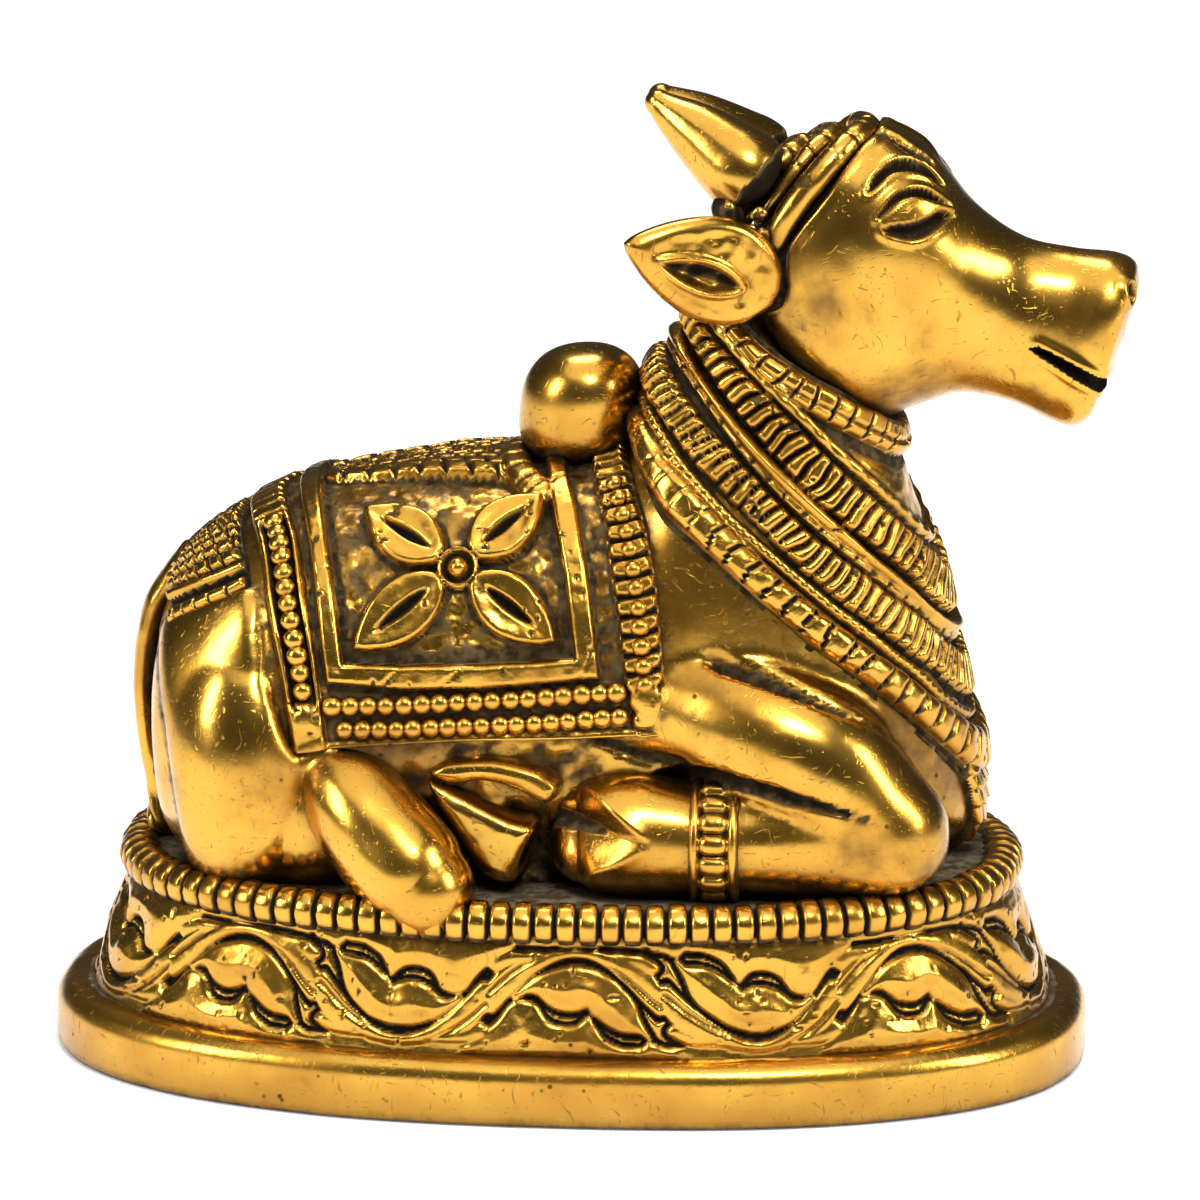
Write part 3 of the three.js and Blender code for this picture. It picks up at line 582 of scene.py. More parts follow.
def ellipsoid_points(centre, half, side, rows=30, columns=40, tilt=0.0):
    a = np.linspace(0, np.pi, rows + 2)[1:-1, None]
    b = np.linspace(0, 2 * np.pi, columns, endpoint=False)[None]
    p = np.stack([np.sin(a) * np.cos(b), np.sin(a) * np.sin(b), np.cos(a) + 0 * b], -1) * np.array(half)
    c, s = math.cos(math.radians(tilt)), math.sin(math.radians(tilt))
    p = np.stack([p[..., 0] * c + p[..., 2] * s, p[..., 1], -p[..., 0] * s + p[..., 2] * c], -1)
    return p + np.array(centre) * np.array([1, side, 1])


def joined(name, parts):
    """Several closed tubes of loops as the shells of one mesh."""
    points, quads, fans, base = [], [], [], 0
    for loops in parts:
        flat, q, t = tube_parts(loops)
        q, t = facing_out(flat, q, t)
        points.append(flat)
        quads.append(q + base)
        fans.append(t + base)
        base += len(flat)
    return mesh_piece(name, np.vstack(points), np.vstack(quads), np.vstack(fans))


def remeshed(piece, voxel, smoothing):
    """The piece's shells grown into one even skin, with softened joints."""
    grow = piece.modifiers.new("grow", "REMESH")
    grow.mode = "VOXEL"
    grow.voxel_size = voxel * MM
    soften = piece.modifiers.new("soften", "SMOOTH")
    soften.factor = 0.5
    soften.iterations = smoothing
    deps = bpy.context.evaluated_depsgraph_get()
    mesh = bpy.data.meshes.new_from_object(piece.evaluated_get(deps))
    piece.modifiers.clear()
    old = piece.data
    piece.data = mesh
    bpy.data.meshes.remove(old)
    mesh.name = piece.name
    mesh.polygons.foreach_set("use_smooth", np.ones(len(mesh.polygons), bool))
    return piece


def of_vertices(piece, what):
    values = np.empty(len(piece.data.vertices) * 3, np.float32)
    piece.data.vertices.foreach_get(what, values)
    return values.reshape(-1, 3).astype(float)


def vertices_mm(piece):
    return of_vertices(piece, "co") / MM


def set_vertices(piece, points):
    piece.data.vertices.foreach_set("co", (points * MM).astype(np.float32).ravel())
    piece.data.update()


def set_patina(piece, values):
    layer = piece.data.attributes.get("patina") or piece.data.attributes.new("patina", "FLOAT", "POINT")
    layer.data.foreach_set("value", np.clip(values, 0, 2).astype(np.float32))


# The photograph's camera, fitted to the base: how it is turned, raised and away from what it looks
# at, and where in the picture that shows.
VIEW_TURN, VIEW_RISE, VIEW_AWAY = math.radians(5.6), math.radians(13.9), 1000.0
VIEW_BACK = np.array([math.sin(VIEW_TURN) * math.cos(VIEW_RISE), -math.cos(VIEW_TURN) * math.cos(VIEW_RISE),
                      math.sin(VIEW_RISE)])
VIEW_RIGHT = np.array([math.cos(VIEW_TURN), math.sin(VIEW_TURN), 0])
VIEW_UP = np.cross(VIEW_BACK, VIEW_RIGHT)
TARGET = np.array([0, 0, 70.0])
TARGET_PX = (570.9, 571.1)
PHOTO_PX = 1200.0
PX_PER_MM = 6.974
MM_PER_PX = 1 / PX_PER_MM


def seen(points, side):
    """Where points of one side show in the photograph, in its pixels. The far side is mirrored."""
    v = points * np.array([1, -side, 1]) - TARGET
    away = VIEW_AWAY - v @ VIEW_BACK
    scale = VIEW_AWAY / away / MM_PER_PX
    return np.stack([TARGET_PX[0] + (v @ VIEW_RIGHT) * scale, TARGET_PX[1] - (v @ VIEW_UP) * scale], -1)


# Outlines and lines on the body, as pixels of the photograph.
HAUNCH = [(170, 622), (200, 606), (255, 592), (262, 650), (270, 700), (292, 752), (335, 745), (352, 800), (356, 905),
          (300, 893), (225, 884), (193, 860), (179, 790), (169, 720), (164, 660)]
RUMP_HOLLOW = [(137, 628), (152, 614), (158, 660), (163, 720), (173, 790), (186, 845), (160, 845), (151, 780),
               (142, 700)]
ARM_CREASE = [(702, 659), (706, 655), (735, 658), (770, 667), (810, 687), (850, 711), (915, 750), (860, 724),
              (820, 708), (780, 694), (740, 680), (715, 671)]
LEG_CREASE = [(655, 772), (700, 767), (740, 777), (800, 795), (876, 823), (800, 810), (740, 795), (700, 790),
              (660, 790)]
ARM_UNDER = [(598, 738), (620, 748), (645, 758), (680, 766)]
STAINED_BESIDE = [[(639, 478), (646, 530), (652, 585), (660, 638), (667, 691), (664, 724), (641, 733), (600, 742),
                   (440, 744), (292, 739), (270, 650), (262, 592)],
                  [(655, 495), (692, 548), (756, 617), (820, 681), (883, 739)]]
STAINED_DOWN_TO = 800
HAUNCH_STAINED_UP_TO = 262
# Each crease: its outline, how steep and how deep it is, how dark, and between which depths it darkens.
CREASES = ((ARM_CREASE, 2.3, 3.0, 1.15, (0.1, 0.9)), (LEG_CREASE, 2.0, 2.8, 1.4, (-0.1, 0.5)))
# Where the rough casting under the cloth's hem sets in from the rear, from the front and from above.
ROUGH_FROM_REAR, ROUGH_FROM_FRONT, ROUGH_FROM_TOP = (370, 420), (640, 590), (735, 752)


def upper_arm(side):
    return limb_points([[-1, 14.2, 28.0, 7.8], [6, 15.4, 26.8, 8.5], [12.5, 16.6, 25.7, 9.3], [20, 18.9, 25.2, 9.9],
                        [29, 22.3, 22.7, 10.4], [38, 23.6, 18.2, 10.3], [46, 24, 10.4, 8.9]],
                       side, steps=40, sides=40)


def lower_arm(side):
    return limb_points([[46.8, 24, 9.2, 9.1], [34, 24.4, 8.3, 8.3], [24, 24.8, 7.7, 7.9], [19, 25, 7.7, 7.8]],
                       side, steps=34, sides=40)


BODY_FOOT_Z = 24.0


def make_body():
    rings = np.linspace(0, 12.4, 160)[:, None]
    angles = np.linspace(0, 360, 150, endpoint=False)[None]
    parts = [TORSO.point(rings, angles)]
    for side in SIDES:
        parts += [upper_arm(side), lower_arm(side)]
        parts += [ellipsoid_points([-43.5, 16.5, 16], [13.0, 15.4, 20.2], side),
                  ellipsoid_points([-34.5, 18.5, 9.5], [9.5, 11.0, 11.5], side)]
    parts = [on_deck(p) for p in parts]
    body = remeshed(joined("bull_body", parts), voxel=0.88, smoothing=3)
    p = vertices_mm(body)
    n = of_vertices(body, "normal")
    patina = np.zeros(len(p))
    move = np.zeros(len(p))
    for side in SIDES:
        mine = (p[:, 1] * side > 6) & ((n * np.array([1, -side, 1])) @ VIEW_BACK > -0.15)
        q = seen(p[mine], side)
        across, down = q[:, 0], q[:, 1]

        def inside(outline):
            return inside_polygon(q, rounded(outline, 4)) * MM_PER_PX

        haunch = inside(HAUNCH)
        change = 1.5 * shoulder(haunch + 0.4, 2.6)
        stain_and_shadow = 0.55 * smooth(1.3, 0.3, np.abs(haunch + 0.5)) * (across < HAUNCH_STAINED_UP_TO)
        hollow = inside(RUMP_HOLLOW) - 3.5 * smooth(12, 20, np.abs(p[mine, 1]))
        change = change - 2.8 * smooth(-0.7, 1.6, hollow) * (1 + 0.4 * noise(p[mine], 2.2, 53))
        stain_and_shadow = np.maximum(stain_and_shadow, smooth(-0.6, 1.3, hollow) * (0.68 + 0.45 * noise(p[mine], 1.6, 56)))
        for outline, steep, deep, dark, edges in CREASES:
            crease = inside(outline)
            change = change - np.clip(crease * steep, 0, deep)
            stain_and_shadow = np.maximum(stain_and_shadow, dark * smooth(*edges, crease))
        belly = smooth(*ROUGH_FROM_REAR, across) * smooth(*ROUGH_FROM_FRONT, across) * smooth(*ROUGH_FROM_TOP, down)
        rough = noise(p[mine], 1.9, 54)
        change = change + belly * 0.8 * rough
        stain_and_shadow = np.maximum(stain_and_shadow, belly * (0.38 - 0.40 * rough + 0.18 * noise(p[mine], 1.3, 55)))
        # A brown shade beside the cloth and the lowest necklace.
        for line in STAINED_BESIDE:
            gap, _ = polyline(q, line)
            near = bell(gap * MM_PER_PX, 1.8) * (0.40 + 0.3 * noise(p[mine], 1.6, 57))
            stain_and_shadow = np.maximum(stain_and_shadow, near * (down < STAINED_DOWN_TO))
        # A fold cut in under the arm and painted black, as the shadow under the arm.
        fold, _ = polyline(q, ARM_UNDER)
        fold = fold * MM_PER_PX
        change = change - 1.5 * bell(fold, 0.7)
        stain_and_shadow = np.maximum(stain_and_shadow, 1.1 * bell(fold, 0.9))
        move[mine] += change
        patina[mine] = np.maximum(patina[mine], stain_and_shadow)
    patina = np.maximum(patina, np.minimum(0.17 + 0.3 * noise(p, 11, 63) + 0.12 * noise(p, 3, 64), 0.36))
    p = p + n * (move + 0.12 * noise(p, 9, 51) + 0.07 * noise(p, 4, 52))[:, None]
    p[:, 2] = np.maximum(p[:, 2], BODY_FOOT_Z)
    set_vertices(body, p)
    set_patina(body, patina)
    return body


def make_shin(side):
    loops = limb_points([[-32.2, 25.6, 16.6, 5.2], [-28.4, 28.0, 13.2, 7.2], [-23.5, 30.8, 8.2, 8.0],
                         [-19.2, 33.2, 4.3, 7.9], [-16.9, 34.3, 2.2, 6.9]], side, steps=60, sides=64)
    loops = on_deck(loops)
    away = unit(loops - loops.mean(1, keepdims=True))
    loops = loops + (0.16 * noise(loops, 7, 56) + 0.06 * noise(loops, 3, 57))[..., None] * away
    return tube(sided("shin", side), loops)


# The cleft of the fore hoof in the photograph: the pixel of its point, and the directions of its two
# lips and of the valley between them, in degrees from straight back.
CLEFT_POINT = (651, 845)
CLEFT_LIPS = (40.0, -30.0)
CLEFT_VALLEY = 8.0


def make_hoof(side):
    rows = [[20.0, 25.0, 7.7, 7.9], [16, 25.0, 8.0, 8.4], [10.5, 25.2, 8.3, 8.9], [6.0, 25.4, 8.3, 8.2],
            [3.6, 25.4, 8.2, 6.8]]
    loops = on_deck(limb_points(rows, side, steps=74, sides=96, blunt=0.35))
    q = (seen(loops, side) - np.array(CLEFT_POINT)) * np.array([-1, -1]) * MM_PER_PX
    reach = np.hypot(q[..., 0], q[..., 1])
    turn = np.degrees(np.arctan2(q[..., 1], q[..., 0])) - 3.0 * smooth(3, 11, reach)
    up_share = (CLEFT_LIPS[0] - turn) / (CLEFT_LIPS[0] - CLEFT_VALLEY)
    low_share = (turn - CLEFT_LIPS[1]) / (CLEFT_VALLEY - CLEFT_LIPS[1])
    inside = np.minimum(up_share, low_share)
    middle_y = 25.0
    front = smooth(0.0, 0.35, (loops[..., 1] * side - middle_y) / 8)
    fall = 4.6 * smooth(0, 13, reach) + 0.10 * reach
    depth = np.clip(inside, 0, 1) * fall * front
    loops[..., 1] -= side * depth
    off_lip = np.abs(inside) * reach * 0.5
    lip = bell(off_lip, 0.7) * smooth(0.5, 2.0, reach) * front * (reach < 14)
    loops[..., 1] += side * 0.3 * lip
    loops = loops + 0.10 * noise(loops, 4, 58)[..., None]
    patina = smooth(0.72, 0.98, inside) * smooth(5.0, 9.0, reach) * front
    patina = patina + 0.25 * smooth(0.1, 0.5, inside) * front
    return tube(sided("hoof", side), loops, patina)


# The two claws of the hind foot, in mm forward and up on the flank.
CLAW_UPPER = [(-17.9, 17.0), (-16.4, 18.7), (-13.9, 19.5), (-8.4, 19.9), (-3.2, 19.1), (-0.4, 17.9), (1.5, 15.7),
              (-0.65, 12.9), (-5.2, 14.9), (-9.9, 15.9), (-13.2, 15.3), (-15.2, 15.5)]
CLAW_LOWER = [(-17.8, 16.6), (-17.2, 13.6), (-15.6, 10.4), (-13.2, 6.8), (-9.8, 2.2), (-5.4, 1.2), (-3.2, 5.6),
              (-2.0, 10.2), (-5.9, 11.5), (-9.9, 13.4), (-13.0, 14.9), (-15.0, 15.9)]


def make_hind_foot(side):
    rows, columns = 108, 118
    ground_y, top_y = 22.0, 28.6
    z, x = np.meshgrid(np.linspace(-1.5, 21.5, rows), np.linspace(-21.5, 3.5, columns), indexing="ij")
    q = np.stack([x, z], -1)
    base = np.stack([x, np.zeros_like(x), z], -1)
    ground = ground_y + 0.9 * noise(base, 2.6, 59) + 0.4 * noise(base, 1.1, 60) - 0.05 * np.abs(z - 6)
    height = ground
    for outline, crown in ((CLAW_UPPER, 2.1), (CLAW_LOWER, 3.0)):
        inside = inside_polygon(q, rounded(outline, 3))
        slope = top_y + 0.05 * (x + 8) - ground_y
        h = ground_y + slope * shoulder(inside + 0.35, 1.5) + crown * (shoulder(inside, 2.9) - 0.55)
        height = np.maximum(height, np.where(inside > -0.35, h, 0))
    height = height + 0.08 * noise(base, 2, 61)
    points = np.stack([x, side * height, z], -1)
    out = np.zeros_like(points)
    out[..., 1] = side
    patina = smooth(27.0, 24.6, height) * (0.75 + 0.35 * noise(base, 1.5, 62))
    return patch(sided("hind_foot", side), on_deck(points), 5.0, out, patina)


# Saddle cloth.

# The edges of the cloth's columns and rails as (degrees, ring), from its rear to its front, and where
# its hem ends, in degrees.
REAR_OUT = table([(0, 3.02), (38, 3.36), (60, 3.43), (77.5, 3.52), (93, 3.55)])
REAR_IN = table([(0, 3.56), (36, 3.86), (58, 3.92), (75, 3.95), (90, 3.94)])
RAIL_REAR_OUT = table([(0, 3.74), (37, 3.95), (58, 4.0), (75, 4.0), (90, 4.01)])
RAIL_REAR_IN = table([(0, 4.02), (39, 4.15), (60, 4.19), (90, 4.19)])
RAIL_FRONT_IN = table([(0, 5.98), (18, 6.02), (38, 6.08), (59, 6.12), (76, 6.10), (90, 6.05)])
RAIL_FRONT_OUT = table([(0, 6.22), (18, 6.26), (38, 6.36), (59, 6.38), (76, 6.34), (90, 6.28)])
FRONT_IN = table([(0, 6.5), (20, 6.53), (41, 6.63), (60, 6.61), (75, 6.57), (90, 6.5)])
FRONT_OUT = table([(0, 7.0), (23, 7.07), (46, 7.17), (63, 7.14), (80.5, 6.98), (93.5, 6.86)])
HEM = 96.5


def leaf_polygon(length, width, start, heading):
    """A leaf's outline, from a start along a heading in degrees."""
    f = np.linspace(0, 1, 15)
    half = width / 2 * np.sin(np.pi * f ** 0.86) ** 0.82
    upper = np.stack([start + length * f, half], -1)
    lower = np.stack([start + length * f, -half], -1)[::-1][1:-1]
    outline = np.vstack([upper, lower])
    c, s = math.cos(math.radians(heading)), math.sin(math.radians(heading))
    return outline @ np.array([[c, s], [-s, c]])


# The petals of the flower: their headings in degrees and how far their tips reach, in mm.
PETAL_START = 2.1
PETALS = [(149, 16.4), (43, 15.8), (219, 18.4), (325.5, 17.2)]


def flower_relief(q):
    """Height of the four petals and the boss over the field, and how deep their slits are, by mm
    forward and up from the flower's middle."""
    height = np.zeros(q.shape[:-1])
    dark = np.zeros(q.shape[:-1])
    reach = np.linalg.norm(q, axis=-1) < 20
    w = q[reach]
    h = np.zeros(len(w))
    k = np.zeros(len(w))
    for heading, tip in PETALS:
        start = PETAL_START
        span = tip - start
        inside = inside_polygon(w, leaf_polygon(span, 8.3, start, heading))
        petal = shoulder(inside + 0.15, 0.7) * 2.2 + 0.12 * smooth(0.2, 0.7, inside) - 0.30 * smooth(0.7, 2.6, inside)
        slit = inside_polygon(w, leaf_polygon(span * 0.60, 1.75, start + span * 0.18, heading))
        petal = petal - 1.5 * smooth(-0.12, 0.6, slit) * (inside > 0)
        h = np.maximum(h, petal)
        k = np.maximum(k, 1.7 * smooth(0.1, 0.5, slit))
    r = np.linalg.norm(w, axis=-1)
    collar = shoulder(3.0 - r, 0.5) * 1.7 - 1.6 * smooth(2.6, 2.0, r)
    h = np.where(r < 3.0, np.maximum(collar, 0), h)
    k = np.maximum(np.where(r < 3.0, 0, k), bell(r - 1.85, 0.3))
    ball = np.sqrt(np.clip(1.65 ** 2 - r ** 2, 0, None)) * 1.35
    k = np.where(ball > 0.6, 0, k)
    height[reach] = np.maximum(h, ball)
    dark[reach] = k
    return height, dark


def rib_index(run):
    """Which rib of the front column lies at a distance from the crest: they widen down the flank."""
    steps = np.linspace(0, 60, 241)
    pitch = 1.95 + 0.70 * smooth(6, 16, steps)
    return np.interp(run, steps, np.concatenate([[0], np.cumsum((1 / pitch)[1:] * np.diff(steps))]))


def hem_at(ring):
    """Where the hem begins, in degrees from the crest."""
    return 86.6 - 1.0 * smooth(5.0, 6.6, ring) - 0.9 * smooth(4.6, 3.9, ring)


def make_cloth_beads(side):
    """The beads of the cloth on one side: its rear and front columns and the two rows of its hem."""
    bead_rng = np.random.default_rng(7)
    parts = []

    def string(rings, angles, places, radius, lift, tall=0.8, long=1.0):
        """Beads along a line on the skin, at some distances from its start."""
        line = TORSO.point(rings, angles * side)
        run = run_along(line)
        if np.isscalar(places[1]) and len(places) == 3:
            start, end, pitch = places
            places = np.arange(start, run[-1] - end, pitch)
        for at in places:
            if at > run[-1] - 0.3:
                continue
            at = at + bead_rng.uniform(-0.09, 0.09)
            t, a = np.interp(at, run, rings), np.interp(at, run, angles) * side
            centre, ahead = TORSO.point(t, a), TORSO.normal(t, a)
            nearby = TORSO.point(np.interp(at + 0.3, run, rings), np.interp(at + 0.3, run, angles) * side)
            along = unit(nearby - centre)
            across = np.cross(ahead, along)
            r = radius * (1 + bead_rng.uniform(-0.06, 0.06))
            ball = ellipsoid_points([0, 0, 0], [r * long, r, r * tall], 1, rows=10, columns=16)
            turned = ball[..., :1] * along + ball[..., 1:2] * across + ball[..., 2:] * ahead
            parts.append(turned + centre + ahead * lift)

    a = np.linspace(24, 87, 120)
    string(REAR_OUT(a) * 0.44 + REAR_IN(a) * 0.56, a, (0.8, 0.6, 2.40), 1.45, 1.40)
    a = np.linspace(0, 89.5, 160)
    middle = FRONT_IN(a) * 0.5 + FRONT_OUT(a) * 0.5
    line = TORSO.point(middle, a * side)
    reach = run_along(line)
    fine = np.linspace(0, 60, 3000)
    index = rib_index(fine)
    first = math.ceil(np.interp(np.interp(23, a, reach), fine, index)) + 0.5
    places = [np.interp(first + k, index, fine) for k in range(40)]
    string(middle, a, places, 1.38, 1.60, 0.80, 0.90)
    for shift, pitch, radius, start in ((2.6, 2.5, 1.46, 0.9), (6.5, 2.42, 1.40, 2.1)):
        t = np.linspace(3.98, 6.50, 160)
        string(t, hem_at(t) + shift, (start, 0.9, pitch), radius, 1.05, 0.85)
    name = sided("cloth_beads", side)
    piece = joined(name, [on_deck(part) for part in parts])
    p = vertices_mm(piece)
    set_vertices(piece, p + 0.05 * noise(p, 1.4, 77)[:, None])
    return piece


def make_cloth():
    rows, columns = 210, 320
    angle = np.linspace(-HEM, HEM, columns)[None] + np.zeros((rows, 1))
    rear, front = REAR_OUT(angle) - 0.01, FRONT_OUT(angle) + 0.01
    share = np.linspace(0, 1, rows)[:, None]
    ring = rear + (front - rear) * share
    base, normals, per_ring, per_degree = TORSO.surface(ring, angle)
    steps = np.linalg.norm(np.diff(base, axis=1), axis=-1)
    run = np.concatenate([np.zeros((rows, 1)), np.cumsum(steps, axis=1)], axis=1)
    middle = columns // 2
    run = np.abs(run - run[:, middle:middle + 1])
    size = np.abs(angle)
    steps = np.linalg.norm(np.diff(base, axis=0), axis=-1)
    length_run = np.concatenate([np.zeros((1, columns)), np.cumsum(steps, axis=0)], axis=0)

    def between(low_at, high_at):
        """Mm inside the strip between two edges."""
        return np.minimum((ring - low_at(angle)) * per_ring, (high_at(angle) - ring) * per_ring)

    rough = 0.17 * noise(base, 1.4, 61) + 0.17 * noise(base, 3.0, 62) + 0.08 * noise(base, 0.8, 66)
    field = np.minimum(between(RAIL_REAR_IN, RAIL_FRONT_IN), (79.5 - size) * per_degree)
    ground = 0.95 - 0.42 * smooth(0.3, 1.8, field) + 0.28 * noise(base, 1.5, 71) * smooth(0.3, 1.5, field)
    frame_out = between(RAIL_REAR_OUT, RAIL_FRONT_OUT)
    ground = np.where(frame_out < 0, 0.62 + 0.3 * noise(base, 1.3, 72), ground)
    relief = Relief(0.4 + rough, ground)

    # The rear column: ribs over the back, then one row of beads down each flank.
    inside = between(REAR_OUT, REAR_IN)
    column = shoulder(inside, 1.1) * 1.75
    beaded = smooth(22, 27, size) * smooth(89, 86, size)
    rib = from_middle(run / 2.9 + 0.1 * noise(base, 4, 67))
    cut = smooth(0.80, 0.97, rib) * smooth(27, 22, size) * smooth(0.2, 0.8, inside)
    relief.raise_to(inside > 0, column - 0.6 * cut + 0.25 * shoulder(0.9 - rib, 0.8) * (1 - beaded), 0.03)
    relief.darken(inside > 0.2, 0.9 * cut)
    off = (ring - (REAR_OUT(angle) * 0.46 + REAR_IN(angle) * 0.54)) * per_ring
    trough = smooth(2.0, 1.55, np.abs(off - 0.1)) * beaded
    relief.lift = relief.lift - 1.4 * trough
    relief.darken(True, 1.2 * trough)

    # The front column: in each cell a lens-shaped rib with a bead on its middle.
    inside = between(FRONT_IN, FRONT_OUT)
    width = (FRONT_OUT(angle) - FRONT_IN(angle)) * per_ring
    off = (ring - (FRONT_IN(angle) * 0.5 + FRONT_OUT(angle) * 0.5)) * per_ring
    wing = smooth(17, 24, size)
    reach = np.clip(np.abs(off) / (width * 0.5), 0, 1)
    lens = 0.93 * (1 - (0.24 + 0.12 * wing) * reach ** 3)
    places = np.linspace(0, 60, 600)
    pitch = np.interp(run, places, 1 / np.gradient(rib_index(places), places[1]))
    slack = (lens - from_middle(rib_index(run))) * pitch / 2
    rib = shoulder(slack, 0.65) * shoulder(inside, 0.8)
    relief.raise_to(inside > 0, 0.4 + shoulder(inside, 0.5) * 0.2 + rib * (1.50 - 0.20 * wing), 0.0)
    gap = 1.5 * smooth(0.2, 0.0, slack) * smooth(0.1, 0.5, inside)
    relief.darken(inside > 0, gap)

    # The hem: two rows of beads.
    hem_in = hem_at(ring)
    inside = np.minimum((size - hem_in) * per_degree, (HEM - size) * per_degree)
    low_ground = 0.6 + 0.15 * noise(base, 1.2, 69)
    relief.raise_to(inside > 0, shoulder(inside, 0.7) * low_ground, 0.75)
    lip = np.minimum((size - HEM + 1.5) * per_degree, (HEM - size) * per_degree + 0.5)
    relief.raise_to(lip > 0, shoulder(lip, 0.5) * 1.1, 0.30)
    for low_at, high_at, size_mm in ((REAR_OUT, REAR_IN, 2.3), (FRONT_IN, FRONT_OUT, 2.5)):
        corner = low_at(91) * 0.5 + high_at(91) * 0.5
        d = np.hypot((ring - corner) * per_ring, (size - 90.0) * per_degree)
        ball = np.sqrt(np.clip(size_mm ** 2 - d ** 2, 0, None))
        relief.raise_to(d < size_mm, 1.0 + ball * 0.6, 0.0)

    # The inner frame, a flat rail with mitred corners.
    frame_low = np.interp(ring, [4.0, 4.6, 5.24, 6.04], [78.0, 80.2, 81.2, 80.4])
    frame_high = np.interp(ring, [4.04, 4.6, 5.22, 6.19], [83.6, 86.4, 87.0, 85.6])
    outer = np.minimum(frame_out, (frame_high - size) * per_degree)
    inner = np.minimum(between(RAIL_REAR_IN, RAIL_FRONT_IN), (frame_low - size) * per_degree)
    rail = np.minimum(outer, -inner)
    crack = smooth(0.86, 0.96, from_middle((length_run + run) / 8.3 + 0.4 * noise(base, 3, 70)))
    crack = crack * smooth(-0.1, 0.4, noise(base, 3.5, 75))
    relief.raise_to(rail > 0, shoulder(rail, 0.8) * 2.15 - 0.35 * crack, 0.03)
    relief.darken(rail > 0.2, 0.55 * crack)

    # The band along the spine: rows of blocks, thicker towards the front.
    edge = np.interp(ring, [4.02, 4.16, 4.5, 4.95, 5.5, 5.62], [4, 8, 12.0, 15.4, 19.6, 20])
    inside = np.minimum.reduce([(edge - size) * per_degree, (ring - 4.06) * per_ring, (5.6 - ring) * per_ring])
    from_edge = (edge - size) * per_degree
    edge_row, other_rows = 3.2, 2.7
    past = from_edge - edge_row
    row = np.where(past < 0, 0, 1 + np.floor(past / other_rows))
    seam = np.where(from_edge < 4.0, np.abs(past), np.abs((past + other_rows / 2) % other_rows - other_rows / 2))
    long_cell = from_middle(length_run / np.where(row == 0, 3.6, 3.0) + 0.37 * row)
    cuts = np.maximum(smooth(0.80, 0.95, long_cell), smooth(0.34, 0.12, seam))
    puff = shoulder(0.97 - long_cell, 0.6) * 0.35 * (row == 0)
    tall = 1.55 + 0.75 * smooth(4.1, 5.3, ring)
    height = shoulder(inside, 0.6) * tall + puff - 0.75 * cuts * smooth(0.1, 0.6, inside)
    relief.raise_to(inside > 0, height, 0.03)
    relief.darken(inside > 0.25, 1.5 * cuts)
    # The hook at its front end, a ribbed roll that curls down each side.
    for side in SIDES:
        line = [(5.66, 0), (5.68, 8 * side), (5.74, 16 * side), (5.86, 23 * side), (5.95, 27.5 * side)]
        fine = rows_at(line, np.linspace(0, 4, 30))
        path = TORSO.point(fine[:, 0], fine[:, 1])
        near = (np.abs(ring - 5.8) < 0.5) & (size < 36) & (angle * side > -2)
        w = base[near]
        d = np.linalg.norm(w[:, None] - path[None], axis=-1)
        k = d.argmin(1)
        inner = 2.55 - d.min(1)
        rib = from_middle(k / 29 * 4.2)
        roll = 0.55 + shoulder(inner, 2.0) * 2.1 - 0.5 * smooth(0.72, 0.98, rib) * smooth(0.2, 1.0, inner)
        h = np.full(near.shape, -1.0)
        h[near] = np.where(inner > 0, roll, -1)
        relief.raise_to(h > 0, h, 0.03)
        g = np.zeros(near.shape)
        g[near] = smooth(0.78, 0.98, rib) * (inner > 0.3)
        relief.darken(True, 0.85 * g)

    # The flower on each flank.
    for side in SIDES:
        centre, forward, up, _ = TORSO.chart(5.16, 54.4 * side)
        offset = base - centre
        q = np.stack([offset @ forward, offset @ up], -1)
        on_side = (np.sign(angle) == side) & (np.linalg.norm(offset, axis=-1) < 22)
        q = np.where(on_side[..., None], q, 99)
        height, dark = flower_relief(q)
        relief.raise_to(height > 0.05, 0.45 + height, 0.0)
        relief.darken(True, dark)

    patina = np.clip(0.85 * relief.dark + recess(relief.lift, (4, 3), gain=0.9), 0, 1.8)
    pock = relief.pocks(base, 76)
    patina = np.maximum(patina, 0.8 * pock)
    lift = relief.lift + 0.07 * noise(base, 1.2, 64) + 0.09 * noise(base, 4, 65) - 0.3 * pock
    points = base + normals * lift[..., None]
    return patch("saddle_cloth", on_deck(points), 4.0, normals, patina)


# Necklaces.

# The edges of the necklaces as (degrees, ring), from the lowest one up to the collar.
CORD_LOW = table([(0, 7.3), (30, 7.39), (51, 7.56), (68, 8.06), (81, 8.47), (92, 8.81), (105, 9.21), (126, 9.53),
                  (144, 9.63), (180, 9.63)])
CORD_UP = table([(0, 7.62), (38.5, 7.87), (56, 8.3), (70, 8.63), (83, 9.01), (98, 9.44), (120, 9.87),
                 (148, 10.07), (180, 10.05)])
TWIST = table([(0, 7.8), (15, 7.84), (44, 8.1), (58.5, 8.45), (72, 8.86), (87, 9.33), (105.5, 9.80),
               (128.5, 10.13), (160, 10.2), (180, 10.2)])
BARS_LOW = table([(0, 7.95), (20, 8.02), (43, 8.34), (58, 8.74), (75, 9.22), (93.5, 9.67), (113, 10.11),
                  (140, 10.4), (180, 10.38)])
BARS_UP = table([(0, 8.8), (16, 8.85), (37, 8.98), (52.5, 9.35), (72, 9.80), (86, 10.12), (108, 10.6),
                 (136, 10.92), (180, 10.8)])
PAIR_LOW = table([(0, 9.0), (22, 9.2), (41.5, 9.45), (58.5, 9.68), (72, 9.96), (86, 10.28), (108.5, 10.70),
                  (137, 11.02), (180, 10.95)])
PAIR_UP = table([(0, 9.8), (28, 9.92), (48.5, 10.05), (65, 10.34), (79.5, 10.62), (102.5, 10.96), (128, 11.2),
                 (180, 11.14)])
